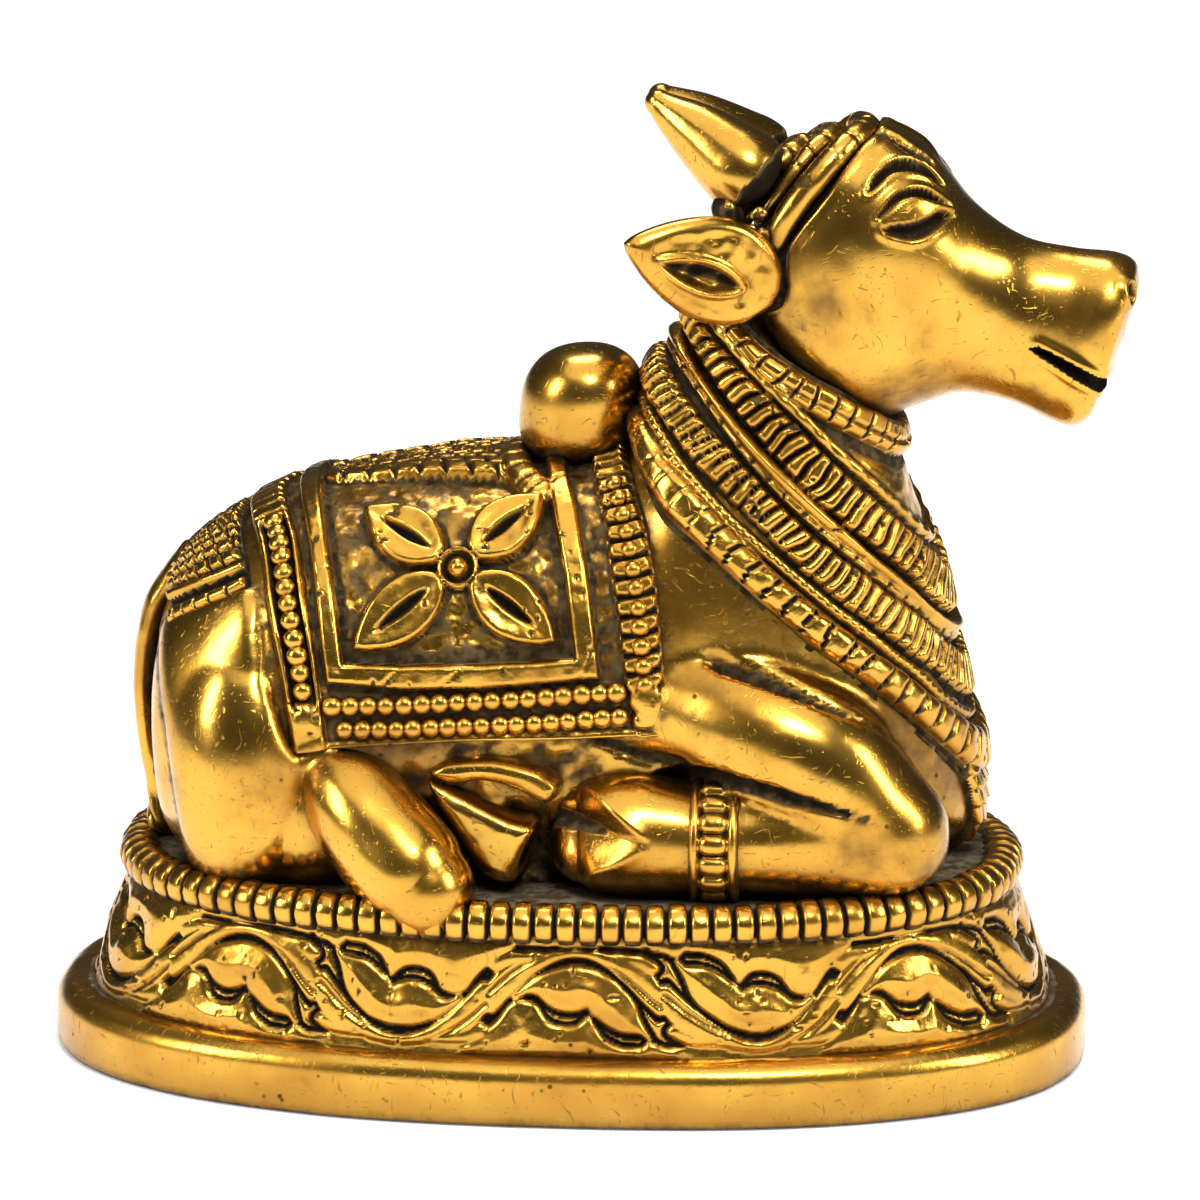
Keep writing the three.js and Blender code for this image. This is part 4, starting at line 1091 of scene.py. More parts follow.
HIGH_BARS_LOW = table([(0, 10.3), (43, 10.4), (56.5, 10.5), (72.5, 10.66), (87, 10.84), (103, 11.12),
                       (129.5, 11.4), (180, 11.28)])
HIGH_BARS_UP = table([(0, 11.1), (40, 11.3), (55, 11.5), (73, 11.76), (89, 11.88), (106, 11.96), (124.5, 12.06),
                      (148, 12.08), (180, 11.8)])
FINE_RAIL = table([(0, 11.4), (60, 11.9), (87, 12.2), (100, 12.25), (117.5, 12.37), (140, 12.41), (180, 12.2)])
COLLAR_LOW = table([(0, 11.6), (66, 12.0), (83.5, 12.32), (107, 12.76), (132.5, 13.14), (180, 13.45)])
COLLAR_UP = table([(0, 12.2), (64, 12.55), (85, 12.98), (111, 13.5), (138, 13.87), (180, 13.95)])


def nape_roll(ring, angle):
    """How far the necklaces stand off the skin over the nape."""
    return 1.3 * bell(ring - 8.3, 0.8) * smooth(60, 15, np.abs(angle))


def make_neckwear():
    rows, columns = 128, 490
    angle = full_turn(columns)[None] + np.zeros((rows, 1))
    share = np.linspace(0, 1, rows)[:, None]
    low, high = CORD_LOW(angle) - 0.12, np.minimum(COLLAR_UP(angle) + 0.12, 14)
    ring = low + (high - low) * share
    base, normals, _, _ = TORSO.surface(ring, angle)
    base = base + normals * nape_roll(ring, angle)[..., None]
    lift = 0.05 + 0.12 * noise(base, 2.0, 71)
    # Dark between the necklaces, but bare brass between the last one and the collar.
    bare = smooth(0.12, 0.35, ring - FINE_RAIL(angle)) * smooth(0.12, 0.35, COLLAR_LOW(angle) - ring)
    ground = 0.92 - 0.78 * bare + 0.15 * bare * noise(base, 3, 80)
    lift = lift + 0.25 * bare
    one_angle = angle[0]

    def band(low_at, high_at):
        """Mm along a band and across it at each place, its half widths, and its whole length."""
        middle = (low_at(one_angle) + high_at(one_angle)) / 2
        line = TORSO.point(middle, one_angle)
        line = line + TORSO.normal(middle, one_angle) * nape_roll(middle, one_angle)[:, None]
        tangent = unit(np.roll(line, -1, 0) - np.roll(line, 1, 0))
        steps = np.linalg.norm(np.roll(line, -1, 0) - line, axis=-1)
        run = np.concatenate([[0], np.cumsum(steps)[:-1]])
        total = steps.sum()
        offset = base - line[None]
        forward = np.einsum("ijk,jk->ij", offset, tangent)
        side = offset - forward[..., None] * tangent[None]
        across = np.linalg.norm(side, axis=-1) * np.sign(ring - middle[None])
        slope = TORSO.slopes(middle, one_angle)[0]
        skew = np.linalg.norm(slope - np.einsum("jk,jk->j", slope, tangent)[:, None] * tangent, axis=-1)
        half = (high_at(one_angle) - low_at(one_angle)) / 2 * skew
        return run[None] + forward, across, half[None], total

    relief = Relief(lift, ground, fresh=True)

    # The lowest necklace: a thick cord in blocks, plain over the shoulders.
    run, across, half, total = band(CORD_LOW, CORD_UP)
    block_mm = 3.5
    wander = 0.16 * noise(base, 3.5, 77)
    cell = from_middle(run / total * round(total / block_mm) + wander + 0.03 * across ** 2)
    inside = half + 0.35 - np.abs(across)
    cord = shoulder(inside, 2.0) * 2.5
    cuts = smooth(0.82, 0.95, cell) * smooth(0.15, 0.8, inside)
    deep = smooth(48, 78, np.abs(angle))
    bulge = 0.35 * shoulder(0.96 - cell, 0.7) * deep
    relief.raise_to(inside > 0, cord + bulge - (0.25 + 0.85 * deep) * cuts, 0.0)
    relief.darken(inside > 0.3, (0.3 + 1.2 * deep) * cuts)

    # A fine twisted cord beside it.
    run, across, half, total = band(lambda a: TWIST(a) - 0.06, lambda a: TWIST(a) + 0.06)
    twist = 0.14 * np.cos(2 * np.pi * (run / 1.5 + across * 0.35))
    off = np.abs(across)
    relief.raise_to(off < 0.85, 0.35 + shoulder(0.85 - off, 0.8) * (0.95 + twist), 0.05)

    # Two broad necklaces of bars, uneven as they were cut by hand.
    broad = ((BARS_LOW, BARS_UP, 1.98, 1.95, 72), (HIGH_BARS_LOW, HIGH_BARS_UP, 2.1, 2.05, 78))
    for low_at, high_at, pitch, tall, seed in broad:
        run, across, half, total = band(low_at, high_at)
        wander = 0.34 * noise(base, 3.2, seed) + 0.10 * across / pitch
        phase = run / total * round(total / pitch) + wander
        cell = from_middle(phase)
        uneven = 0.5 + 0.5 * np.sin(np.floor(phase) * 12.9898) * np.sin(np.floor(phase) * 4.1)
        inside = half + 0.55 - 0.4 * uneven - np.abs(across)
        bar = shoulder(0.93 - cell, 0.6) * shoulder(inside - 0.05, 0.9)
        flat = half + 0.45 - np.abs(across)
        relief.raise_to(flat > 0, 0.3 + bar * (tall - 0.3 + 0.25 * uneven), 0.0)
        gap = np.maximum(1.6 * smooth(0.80, 0.93, cell), smooth(0.25, 0.02, inside))
        relief.darken(flat > 0, gap)

    # A notched cord and a broad plain one, side by side.
    run, across, half, total = band(PAIR_LOW, PAIR_UP)
    low_cord = half * 0.48 - np.abs(across + half * 0.62)
    notch = smooth(0.72, 0.95, from_middle(run / 3.3 + 0.3 * noise(base, 3, 79)))
    height = 0.35 + shoulder(low_cord, 0.8) * 1.15 - 0.5 * notch * smooth(0, 0.5, low_cord)
    relief.raise_to(low_cord > 0, height, 0.05)
    relief.darken(low_cord > 0.15, 0.7 * notch)
    high_cord = half * 0.72 + 0.2 - np.abs(across - half * 0.50)
    relief.raise_to(high_cord > 0, 0.3 + shoulder(high_cord, 1.4) * 2.15, 0.0)

    # A fine rail, then the collar under the jaw.
    run, across, half, total = band(lambda a: FINE_RAIL(a) - 0.08, lambda a: FINE_RAIL(a) + 0.08)
    fine = shoulder(0.9 - np.abs(across), 0.8) * 0.95
    relief.raise_to(np.abs(across) < 0.9, 0.3 + fine + 0.12 * np.cos(run * 1.8), 0.1)
    run, across, half, total = band(COLLAR_LOW, COLLAR_UP)
    block_mm = 3.0
    cell = from_middle(run / total * round(total / block_mm) + 0.45 * noise(base, 4, 69))
    inside = half + 0.1 - np.abs(across)
    cuts = smooth(0.76, 0.97, cell) * smooth(0.1, 0.6, inside)
    groove = bell(across + 0.25 * half, 0.28)
    cord = shoulder(inside, 1.4) * 1.95 - 0.75 * cuts - 0.45 * groove
    relief.raise_to(inside > 0, cord, 0.0)
    relief.darken(inside > 0.2, 0.85 * np.maximum(cuts, 0.6 * groove))

    patina = np.clip(0.9 * relief.dark + recess(relief.lift, (3, 4), closed=True), 0, 1.8)
    pock = relief.pocks(base, 68)
    patina = np.maximum(patina, 0.8 * pock)
    lift = relief.lift + 0.06 * noise(base, 1.3, 73) + 0.10 * noise(base, 4, 74) - 0.25 * pock
    points = base + normals * lift[..., None]
    # Both ends go down into the body.
    sunk = base - normals * 3
    points = np.concatenate([sunk[:1], points, sunk[-1:]])
    patina = np.pad(patina, ((1, 1), (0, 0)), constant_values=1.0)
    return tube("necklaces", on_deck(points), patina)


# Head.

# Lines on the head's skin as ring and degrees: the two edges of each groove round the eye.
BROW = ([(3.03, 53.8), (3.15, 45.5), (3.36, 37.5), (3.62, 30.2), (3.94, 25.0), (4.22, 24.3), (4.44, 25.2)],
        [(3.03, 54.2), (3.22, 49.2), (3.42, 42.2), (3.63, 38.2), (3.95, 33.2), (4.23, 30.2), (4.44, 25.6)])
UPPER_LID = ([(3.21, 64.2), (3.35, 59.2), (3.55, 52.2), (3.84, 45.8), (4.15, 40.5), (4.38, 37.8), (4.58, 34.8)],
             [(3.21, 64.8), (3.39, 60.8), (3.60, 54.8), (3.86, 49.8), (4.16, 46.0), (4.38, 41.4), (4.58, 35.2)])
LOWER_LID = ([(3.30, 69.2), (3.52, 67.0), (3.83, 64.0), (4.17, 56.2), (4.36, 48.0), (4.63, 39.8)],
             [(3.30, 69.8), (3.53, 71.2), (3.84, 71.0), (4.18, 65.0), (4.45, 53.5), (4.63, 40.3)])
CREST_EDGE = [(3.17, 13.0), (3.39, 13.5), (3.65, 16.8), (3.92, 17.8), (4.26, 13.5), (4.42, 8.0)]
FACE_EDGE = [(3.22, 0), (3.14, 14.5), (2.99, 23.5), (2.87, 30.5), (2.68, 41), (2.48, 51), (2.26, 58), (1.95, 65),
             (1.70, 70), (1.62, 77), (1.58, 87), (1.35, 93), (0.7, 99), (0.3, 110), (0.3, 180)]
# The mouth, a wedge cut from the front, in mm forward and up.
MOUTH = [(65.4, 75.9), (66.7, 76.1), (69.7, 74.6), (72.5, 73.2), (75, 71.8), (76.2, 71.4), (84, 71.0), (84, 68.6),
         (75.2, 69.5), (73.4, 70.7), (71.1, 72.0), (68.3, 73.9), (66.2, 75.2)]
# The rolls of the headband, from the crest down one side, with their half widths.
ROLLS = (
    ("roll_front", [(2.97, 0), (2.90, 12), (2.76, 21), (2.63, 28.5), (2.47, 35.5), (2.29, 42), (2.08, 48), (1.86, 53.5),
                    (1.60, 59.5), (1.44, 64)], [2.05, 2.05, 2.0, 1.95, 1.95, 1.95, 1.9, 1.9, 1.8, 1.6], 30, 0.25),
    ("roll_middle", [(2.50, 0), (2.38, 12), (2.21, 21), (2.03, 29), (1.84, 35), (1.60, 40), (1.33, 44), (1.05, 48)],
     [1.95, 1.8, 1.5, 1.15, 0.95, 0.9, 0.85, 0.8], 18, 0.25),
    ("roll_back", [(2.05, 0), (1.86, 9), (1.62, 16), (1.36, 22), (1.08, 27.5), (0.8, 32), (0.55, 36)],
     [2.0, 2.0, 1.85, 1.7, 1.6, 1.5, 1.3], 60, 0.45),
)


def make_head():
    rows, columns = 204, 260
    ring, angle = np.meshgrid(np.linspace(0.55, 9.98, rows), full_turn(columns), indexing="ij")
    base, normals, per_ring, per_degree = HEAD.surface(ring, angle)
    size = np.abs(angle)
    # The front of the muzzle closes in smaller and smaller loops.
    caps, cap_normals = [], []
    edge, heart = base[-1], base[-1].mean(0)
    for f in np.linspace(0.06, 0.96, 16):
        loop = edge + (heart - edge) * f
        bulge = 0.9 * (1 - (1 - f) ** 2)
        caps.append(loop + np.array([0.92, 0, -0.38]) * bulge * 0.7)
        cap_normals.append(np.broadcast_to(unit(np.array([0.92, 0, -0.25])), loop.shape))
    base = np.concatenate([base, np.stack(caps)])
    normals = np.concatenate([normals, np.stack(cap_normals)])
    lift = np.zeros(base.shape[:2])
    ground = np.zeros(base.shape[:2])
    main = slice(0, rows)

    for side in SIDES:
        centre, forward, up, _ = HEAD.chart(3.95, 50.0 * side)

        def flat(pairs):
            t, a = np.array(pairs).T
            offset = HEAD.point(t, a * side) - centre
            return np.stack([offset @ forward, offset @ up], -1)

        def outline(high, low):
            high = rows_at(flat(high), np.linspace(0, len(high) - 1, 24))
            low = rows_at(flat(low), np.linspace(0, len(low) - 1, 24))
            return np.vstack([high, low[::-1]])

        offset = base[main] - centre
        q = np.stack([offset @ forward, offset @ up], -1)
        near = (np.sign(angle) == side) & (ring > 2.7) & (ring < 5.2) & (size < 88)
        w = q[near]
        h = np.zeros(len(w))
        g = np.zeros(len(w))
        for high, low in (BROW, UPPER_LID, LOWER_LID):
            inside = inside_polygon(w, outline(high, low))
            cut = np.clip((inside + 0.08) * 3.2, 0, 1.5)
            h -= cut - 0.28 * bell(inside + 0.42, 0.36)
            # Each groove holds dark patina, and painted shade makes its upper wall, which faces down, darker than its
            # lower edge.
            shelf, _ = polyline(w, rows_at(flat(low), np.linspace(0, len(low) - 1, 24)))
            g = np.maximum(g, smooth(-0.04, 0.16, inside) * (1.5 - 0.75 * smooth(0.75, 0.35, shelf)))
        inside = inside_polygon(w, outline(UPPER_LID[1], LOWER_LID[0]))
        h += 0.6 * shoulder(inside, 2.2)
        lift[main][near] += h
        ground[main][near] = np.maximum(ground[main][near], g)

        # The notched crest down the forehead.
        crest_rings, crest_degrees = np.array(CREST_EDGE).T
        on_crest = (ring > crest_rings[0]) & (ring < crest_rings[-1])
        limit = np.interp(ring, crest_rings, crest_degrees, left=-9, right=-9)
        inside = (limit - size) * per_degree * on_crest
        here = ((np.sign(angle) == side) | (size < 0.01)) & on_crest
        teeth = 0.16 * np.cos(2 * np.pi * ring * per_ring / 1.3)
        lift[main] += np.where(here & (inside > 0), shoulder(inside, 0.7) * 0.45, 0) * smooth(4.42, 3.9, ring)
        edge_cut = bell(inside + 0.6 + teeth, 0.62) * here * smooth(4.40, 4.2, ring)
        lift[main] -= 0.9 * edge_cut
        ground[main] = np.maximum(ground[main], 1.3 * edge_cut)

    # Behind the edge of the face the skin lies lower and dark, under the rolls of the headband.
    edge_rings, edge_degrees = np.array(FACE_EDGE).T
    behind = (np.interp(size, edge_degrees, edge_rings) - ring) * per_ring * 0.85
    lift[main] -= 1.7 * smooth(-0.15, 0.8, behind)
    lift[main] += 0.25 * bell(behind + 0.7, 0.6)
    ground[main] = np.maximum(ground[main], (1.2 + 0.5 * noise(base[main], 1.6, 85)) * smooth(0.0, 0.6, behind))

    # The lips' ridge and the nostrils.
    lips, _ = polyline(base[..., [0, 2]], np.vstack([MOUTH, MOUTH[:1]]))
    lift += 0.35 * bell(lips - 0.5, 0.7) * smooth(64.5, 68, base[..., 0])
    for side in SIDES:
        nostril, squeeze = np.array([79.9, 5.5 * side, 83.4]), np.array([0.35, 1.0, 0.72])
        offset = (base - nostril) * squeeze
        d = np.linalg.norm(offset, axis=-1)
        front = base[..., 0] > 77
        hole = smooth(1.15, 0.6, d) * front
        lift -= 1.6 * hole
        lift += 0.3 * bell(d - 1.45, 0.4) * front
        ground = np.maximum(ground, 1.8 * hole)

    # Brown clouds, heavier round the ears, and painted shade that darkens the underside of the head, under the jaw.
    underside_shade = smooth(0.05, -0.75, normals[..., 2])
    ear_root = np.array([29.5, 85.0])
    root = np.linalg.norm(base[..., [0, 2]] - ear_root, axis=-1)
    clouds_and_underside_shade = 0.10 + 0.3 * noise(base, 8, 83) + 0.12 * noise(base, 2.6, 84) + 0.22 * underside_shade
    ground = np.maximum(ground, np.minimum(clouds_and_underside_shade + 0.35 * smooth(11.5, 7.5, root), 0.36))
    lift += 0.10 * noise(base, 9, 81) + 0.05 * noise(base, 3.6, 82)
    piece = tube("head", on_deck(base + normals * lift[..., None]), np.clip(ground, 0, 2))

    # The mouth goes right through, as a wedge taken out of the solid.
    wedge = rounded(MOUTH, 1)
    reach = 14.0
    loops = np.stack([np.insert(wedge, 1, y, axis=1) for y in (-reach, reach)])
    cutter = tube("mouth_wedge", on_deck(loops))
    slot = piece.modifiers.new("mouth", "BOOLEAN")
    slot.operation, slot.object, slot.solver = "DIFFERENCE", cutter, "EXACT"
    mesh = bpy.data.meshes.new_from_object(piece.evaluated_get(bpy.context.evaluated_depsgraph_get()))
    piece.modifiers.clear()
    piece.data = mesh
    bpy.data.objects.remove(cutter)
    p = vertices_mm(piece) - np.array([0, 0, DECK_Z])
    values = np.empty(len(p), np.float32)
    mesh.attributes["patina"].data.foreach_get("value", values)
    inside = inside_polygon(p[:, [0, 2]], np.array(MOUTH))
    set_patina(piece, np.where(inside > -0.05, 1.7, values))
    return piece


def make_rolls():
    """The rolls of the headband, each one a cord over the poll from side to side."""
    made = []
    for name, line, radii, seed, uneven in ROLLS:
        s = np.linspace(-1, 1, 121)
        at = np.abs(s) * (len(line) - 1)
        t, a = rows_at(line, at).T
        a = a * np.where(s < 0, -1, 1)
        r = rows_at(np.array(radii)[:, None], at)[:, 0]
        skin = HEAD.point(t, a)
        out = HEAD.normal(t, a)
        run = run_along(skin)
        run = run - run[60]
        line_cut = smooth(0.80, 0.97, from_middle(run / 3.1 + 0.25)) * smooth(12, 7, np.abs(run))
        lumps = noise(np.column_stack([run, 0 * run, 0 * run]), 2.6, seed)
        if name != "roll_back":
            lumps = lumps * 0.3
        r = r * (1 + 0.22 * uneven * lumps) - 0.38 * line_cut
        path = skin + out * (-0.35 + 0.12 * r - 0.9 * bell(run, 6.5))[:, None]
        loops = limb_points(np.column_stack([path, r]), 1, steps=220, sides=32, hint=out)
        loops = loops + (0.10 + 0.18 * (name == "roll_back")) * noise(loops, 2.2, seed + 1)[..., None]
        dark = noise(loops, 1.5, seed + 2)
        made.append((name, on_deck(loops), 0.7 * smooth(0.45, 0.75, dark)))
    return [tube(*parts) for parts in made]


# The root and the tip of each ear.
EARS = {-1: np.array([(30.7, -13.2, 84.5), (9.5, -22.3, 92.5)]), 1: np.array([(30.2, 13.2, 80.6), (12.5, 22.6, 80.4)])}


def make_ear(side):
    # The far ear hangs lower: over the near one nothing of it is to be seen.
    root, tip = EARS[side]
    length = np.linalg.norm(tip - root)
    ahead = unit(tip - root)
    up = unit(np.array([0, 0, 1.0]) - ahead * ahead[2])
    out = np.cross(ahead, up)
    out = out * np.sign(out[1]) * side
    f = np.linspace(0, 1, 41)
    half = 7.55 * np.sin(np.pi * f ** 0.74) ** 0.72
    low_edge = np.stack([length * f, -half], -1)[::-1]
    closed = np.vstack([np.stack([length * f, half], -1)[:-1], low_edge])
    run = run_along(closed)
    at = np.arange(128) / 128 * run[-1]
    outline = np.stack([np.interp(at, run, closed[:, 0]), np.interp(at, run, closed[:, 1])], -1)
    heart = np.array([length * 0.42, -0.2])
    slit = leaf_polygon(12.4, 3.7, 0, 0) + np.array([6.6, -1.2])
    loops, patina = [], []
    outer = [(share, 1) for share in np.linspace(0.04, 0.98, 26)]
    inner = [(share, -1) for share in np.linspace(0.96, 0.1, 9)]
    for share, level in outer + [(1.0, 0)] + inner:
        flat = heart + (outline - heart) * share
        if level > 0:
            height = 2.3 * (1 - share ** 5) ** 0.5
            inside = inside_polygon(flat, slit)
            rough = noise(np.column_stack([flat, np.full(len(flat), 3.0)]), 1.5, 91)
            hollow = smooth(-0.15, 1.3, inside) * (1 + 0.3 * rough)
            height = height - 1.5 * hollow + 0.4 * bell(inside + 0.45, 0.4)
            dish = smooth(0.86, 0.62, share) * smooth(-0.6, -1.4, inside)
            height = height + dish * (0.22 * rough - 0.35)
            upper = smooth(-1.7, -0.7, flat[:, 1])
            shade = smooth(0.05, 0.5, hollow) * (0.22 + 1.3 * upper + 0.5 * rough)
            patina.append(np.maximum(shade, 0.5 * dish * smooth(0.3, 0.8, -rough)))
        else:
            height = np.full(len(flat), -2.6 * (1 - share ** 3) ** 0.6 if level < 0 else 0.0)
            patina.append(np.zeros(len(flat)))
        loops.append(root + flat[:, :1] * ahead + flat[:, 1:] * up + height[:, None] * out)
    return tube(sided("ear", side), on_deck(np.stack(loops)), np.stack(patina))


def make_horn(side):
    rows = [[26.9, 5.6, 98.2, 3.4], [26.4, 5.8, 98.7, 5.7], [25.0, 5.8, 99.8, 6.1], [22.4, 5.0, 101.7, 5.6],
            [19.7, 4.2, 103.7, 4.85], [16.9, 3.5, 105.7, 3.9], [14.4, 2.9, 107.4, 2.85], [12.6, 2.4, 108.7, 1.95]]
    loops = limb_points(rows, side, steps=60, sides=48)
    loops = loops + 0.06 * noise(loops, 5, 95 + side)[..., None]
    along = (loops - np.array([rows[2][0], 0, rows[2][2]])) @ np.array([0.75, 0, -0.66])
    patina = smooth(0.4, 1.5, along + 0.9 * noise(loops, 2.2, 96)) * 1.5
    patina = np.maximum(patina, 0.3 * smooth(-4.5, 0.5, along))
    return tube(sided("horn", side), on_deck(loops), patina)


def make_hump():
    centre, radius = np.array([1.5, 0, 64.6]), 8.8
    a = np.linspace(0, np.pi, 60)[1:-1, None]
    b = np.linspace(0, 2 * np.pi, 90, endpoint=False)[None]
    across, tall = signed_power(np.sin(a), 0.86), signed_power(np.cos(a), 0.80)
    loops = np.stack([across * np.cos(b) * radius, across * np.sin(b) * radius, tall * radius + 0 * b], -1)
    loops = loops + centre
    loops[..., 0] += 0.10 * (loops[..., 2] - centre[2])
    loops[..., :2] *= 1 + 0.05 * smooth(64, 58, loops[..., 2:])
    loops = loops + 0.10 * noise(loops, 6, 97)[..., None]
    low = smooth(60.8, 57.8, loops[..., 2]) * (0.95 + 0.5 * noise(loops, 1.8, 99))
    return tube("hump", on_deck(loops), low)


# Each curl: its place on the head as ring and degrees, its half sizes and its tilt.
CURL_SIZE = 0.8
CURLS = (
    (0.85, 22, (1.9, 1.7, 1.4), -30), (1.22, 40, (1.7, 1.4, 1.3), -30), (0.55, 34, (1.5, 1.5, 1.6), -20),
    (1.55, 13, (2.6, 1.9, 1.5), -35), (0.75, 47, (1.5, 1.3, 1.3), -30), (1.05, 8, (2.0, 1.9, 1.5), -35),
    (0.5, 12, (1.8, 1.8, 1.8), -30), (1.25, 55, (1.2, 1.2, 1.6), -20),
)


def make_curls():
    """Small curls of hair round the feet of the horns."""
    parts = []
    for side in SIDES:
        for t, a, half, tilt in CURLS:
            centre = HEAD.point(t, a) + np.array([-0.25, 2.6, -0.65]) * smooth(6, 16, a) * 1.2
            parts.append(ellipsoid_points(centre, CURL_SIZE * np.array(half), side, rows=14, columns=20, tilt=tilt))
        parts.append(ellipsoid_points([22.9, 8.5, 94.6], [2.2, 3.0, 2.7], side, rows=14, columns=20, tilt=-30))
    piece = remeshed(joined("poll_curls", [on_deck(p) for p in parts]), voxel=0.36, smoothing=2)
    p = vertices_mm(piece)
    dents = noise(p, 1.3, 98)
    set_vertices(piece, p + of_vertices(piece, "normal") * (0.28 * dents)[:, None])
    set_patina(piece, 0.35 + 1.1 * smooth(0.25, -0.45, dents))
    return piece


# Small dress.

def make_crupper():
    rows, columns = 88, 184
    low_at = lambda size: 1.45 + 0.30 * smooth(18, 42, size)
    high_at = lambda size: 2.98 + 0.22 * smooth(5, 50, size)
    rail_high = lambda ring: np.interp(ring, [1.59, 2.09, 2.44, 2.73, 2.99], [29.5, 34.6, 37.0, 38.4, 39.2])
    rail_low = lambda ring: np.interp(ring, [1.6, 1.84, 2.18, 2.47, 2.87, 3.18], [44.4, 45.6, 47.2, 48.2, 49.2, 48.6])
    rough_ring = np.linspace(1.6, 3.2, rows)[:, None]
    angle = np.linspace(-1, 1, columns)[None] * (rail_low(rough_ring) + 3.0)
    size = np.abs(angle)
    low, high = low_at(size), high_at(size)
    ring = low + (high - low) * np.linspace(0, 1, rows)[:, None]
    base, normals, per_ring, per_degree = TORSO.surface(ring, angle)
    ends = np.minimum(ring - low, high - ring) * per_ring
    lift = 0.3 + 0.12 * noise(base, 1.6, 101)
    ground = np.ones_like(lift)
    # Overlapping scales in rows above the two rails.
    upper, lower = rail_high(ring), rail_low(ring)
    gap = (lower - upper) * per_degree
    field = (upper - size) * per_degree - 0.26 * gap
    tall_mm, long_mm = 3.1, 3.0
    row_at = field / tall_mm + 0.2 * noise(base, 4, 104)
    row = np.floor(row_at)
    within = row_at - row
    phase = ring * per_ring / long_mm + 0.5 * (row % 2) + 0.2 * noise(base, 3, 102) + 0.25 * within
    cell = from_middle(phase)
    scale = shoulder(0.94 - cell, 0.6) * (0.45 + 0.55 * shoulder(1 - within, 0.8)) * smooth(0.0, 0.22, within)
    here = np.minimum(field, ends - 0.4)
    lift = np.where(here > 0, 0.55 + 1.3 * scale * smooth(0, 0.5, here), lift)
    ground = np.where(here > 0, smooth(0.5, 0.15, scale), ground)
    for centre, half, tall, pitch in ((upper, 0.20 * gap, 1.85, 90.0), (lower - 2.6, 0.24 * gap, 1.9, 3.6)):
        inside = np.minimum(half - np.abs((size - centre) * per_degree), ends - 0.3)
        cuts = smooth(0.82, 0.97, from_middle(ring * per_ring / pitch + 0.3)) * (pitch < 5)
        rail = 0.35 + shoulder(inside, 0.9) * (tall - 0.35) - 0.6 * cuts * smooth(0.1, 0.6, inside)
        lift = np.where(inside > 0, np.maximum(lift, rail), lift)
        ground = np.where(inside > 0.1, 0.85 * cuts, ground)
    rim = (lower + 3.0 - size) * per_degree
    lift = lift - 1.2 * smooth(1.0, 0.2, rim)
    patina = np.clip(1.3 * ground + recess(lift, (4, 4)), 0, 1.8)
    points = base + normals * (lift + 0.06 * noise(base, 2, 103))[..., None]
    return patch("crupper", on_deck(points), 4.0, normals, patina)


def make_tail():
    rows = np.array([[-54.5, 41.5, 4.6, 2.2], [-58.6, 35.5, 5.0, 2.4], [-60.6, 28.0, 5.3, 2.4], [-61.0, 20.0, 5.2, 2.3],
                     [-60.3, 13.0, 4.6, 2.4], [-59.2, 8.0, 4.0, 2.6], [-58.6, 3.5, 4.4, 2.8], [-58.6, 0.2, 4.0, 2.6]])
    f = np.linspace(0, len(rows) - 1, 70)
    values = rows_at(rows, f)
    centre = np.stack([values[:, 0], np.zeros(len(f)), values[:, 1]], -1)
    ahead = unit(np.gradient(centre, axis=0))
    out = np.cross(ahead, np.array([0, 1.0, 0]))
    a = np.linspace(0, 2 * np.pi, 48, endpoint=False)
    c, s = np.cos(a), np.sin(a)
    y, z = signed_power(c, 2 / 3.0), signed_power(s, 2 / 3.0)
    # Its inner half is narrower and dark, where it meets the rump.
    inner = smooth(-0.15, 0.25, s)[None] * smooth(0.5, 1.2, f)[:, None]
    wide = values[:, 2:3] * (1 - 0.22 * inner)
    loops = (centre[:, None] + wide[..., None] * y[None, :, None] * np.array([0, 1, 0])
             + values[:, None, 3:4] * z[None, :, None] * out[:, None])
    tuft = smooth(4.6, 6.4, f)[:, None] * 0.5 * np.cos(2 * np.pi * (a[None] * 3 / np.pi + f[:, None] * 0.6))
    loops = loops + (tuft + 0.15 * noise(loops, 2.2, 111))[..., None] * unit(loops - centre[:, None])
    patina = smooth(0.05, -0.3, tuft) * smooth(4.6, 6.0, f)[:, None] * 0.8
    patina = np.maximum(patina, inner * (1.25 + 0.6 * noise(loops, 1.6, 112)))
    return tube("tail", on_deck(loops), patina)


def make_anklet(side):
    """Two rails round the shank with a row of beads between them."""
    a = np.linspace(0, 2 * np.pi, 187, endpoint=False)
    centre_y, centre_z, radius = 24.8, 7.7, 7.95
    first_x, last_x = 19.5, 26.7
    x = np.linspace(first_x, last_x, 44)
    rear_x, bead_x, front_x = 20.4, 23.1, 25.8
    rail = np.maximum(*(shoulder(0.75 - np.abs(x - at), 0.7) for at in (rear_x, front_x))) * 1.1
    bead_count = 17
    cell = (a / (2 * np.pi) * bead_count) % 1 - 0.5
    pitch = 2 * np.pi * radius / bead_count
    d2 = np.abs((x[:, None] - bead_x) / 2.15) ** 3 + np.abs(cell[None] * pitch / 1.44) ** 2.6
    dots = np.clip(1 - d2, 0, None) ** 0.45 * 1.45
    lift = np.maximum(np.maximum(rail[:, None] + 0 * cell[None], dots), 0.1)
    lift[0] = lift[-1] = -1.5
    ring = radius + lift
    loops = np.stack([
        np.broadcast_to(x[:, None], ring.shape),
        side * (centre_y + ring * np.cos(a)[None]),
        centre_z + ring * np.sin(a)[None],
    ], -1)
    patina = smooth(0.6, 0.15, lift)
    return tube(sided("anklet", side), on_deck(loops), patina)


# The drop on the chest, in mm across it and up it.
DROP = [(-8.2, 2.6), (-4.0, 1.6), (0, 1.2), (4.0, 1.6), (8.2, 2.6), (7.4, -3.0), (4.9, -8.6), (2.6, -11.8), (0, -14.0),
        (-2.6, -11.8), (-4.9, -8.6), (-7.4, -3.0)]


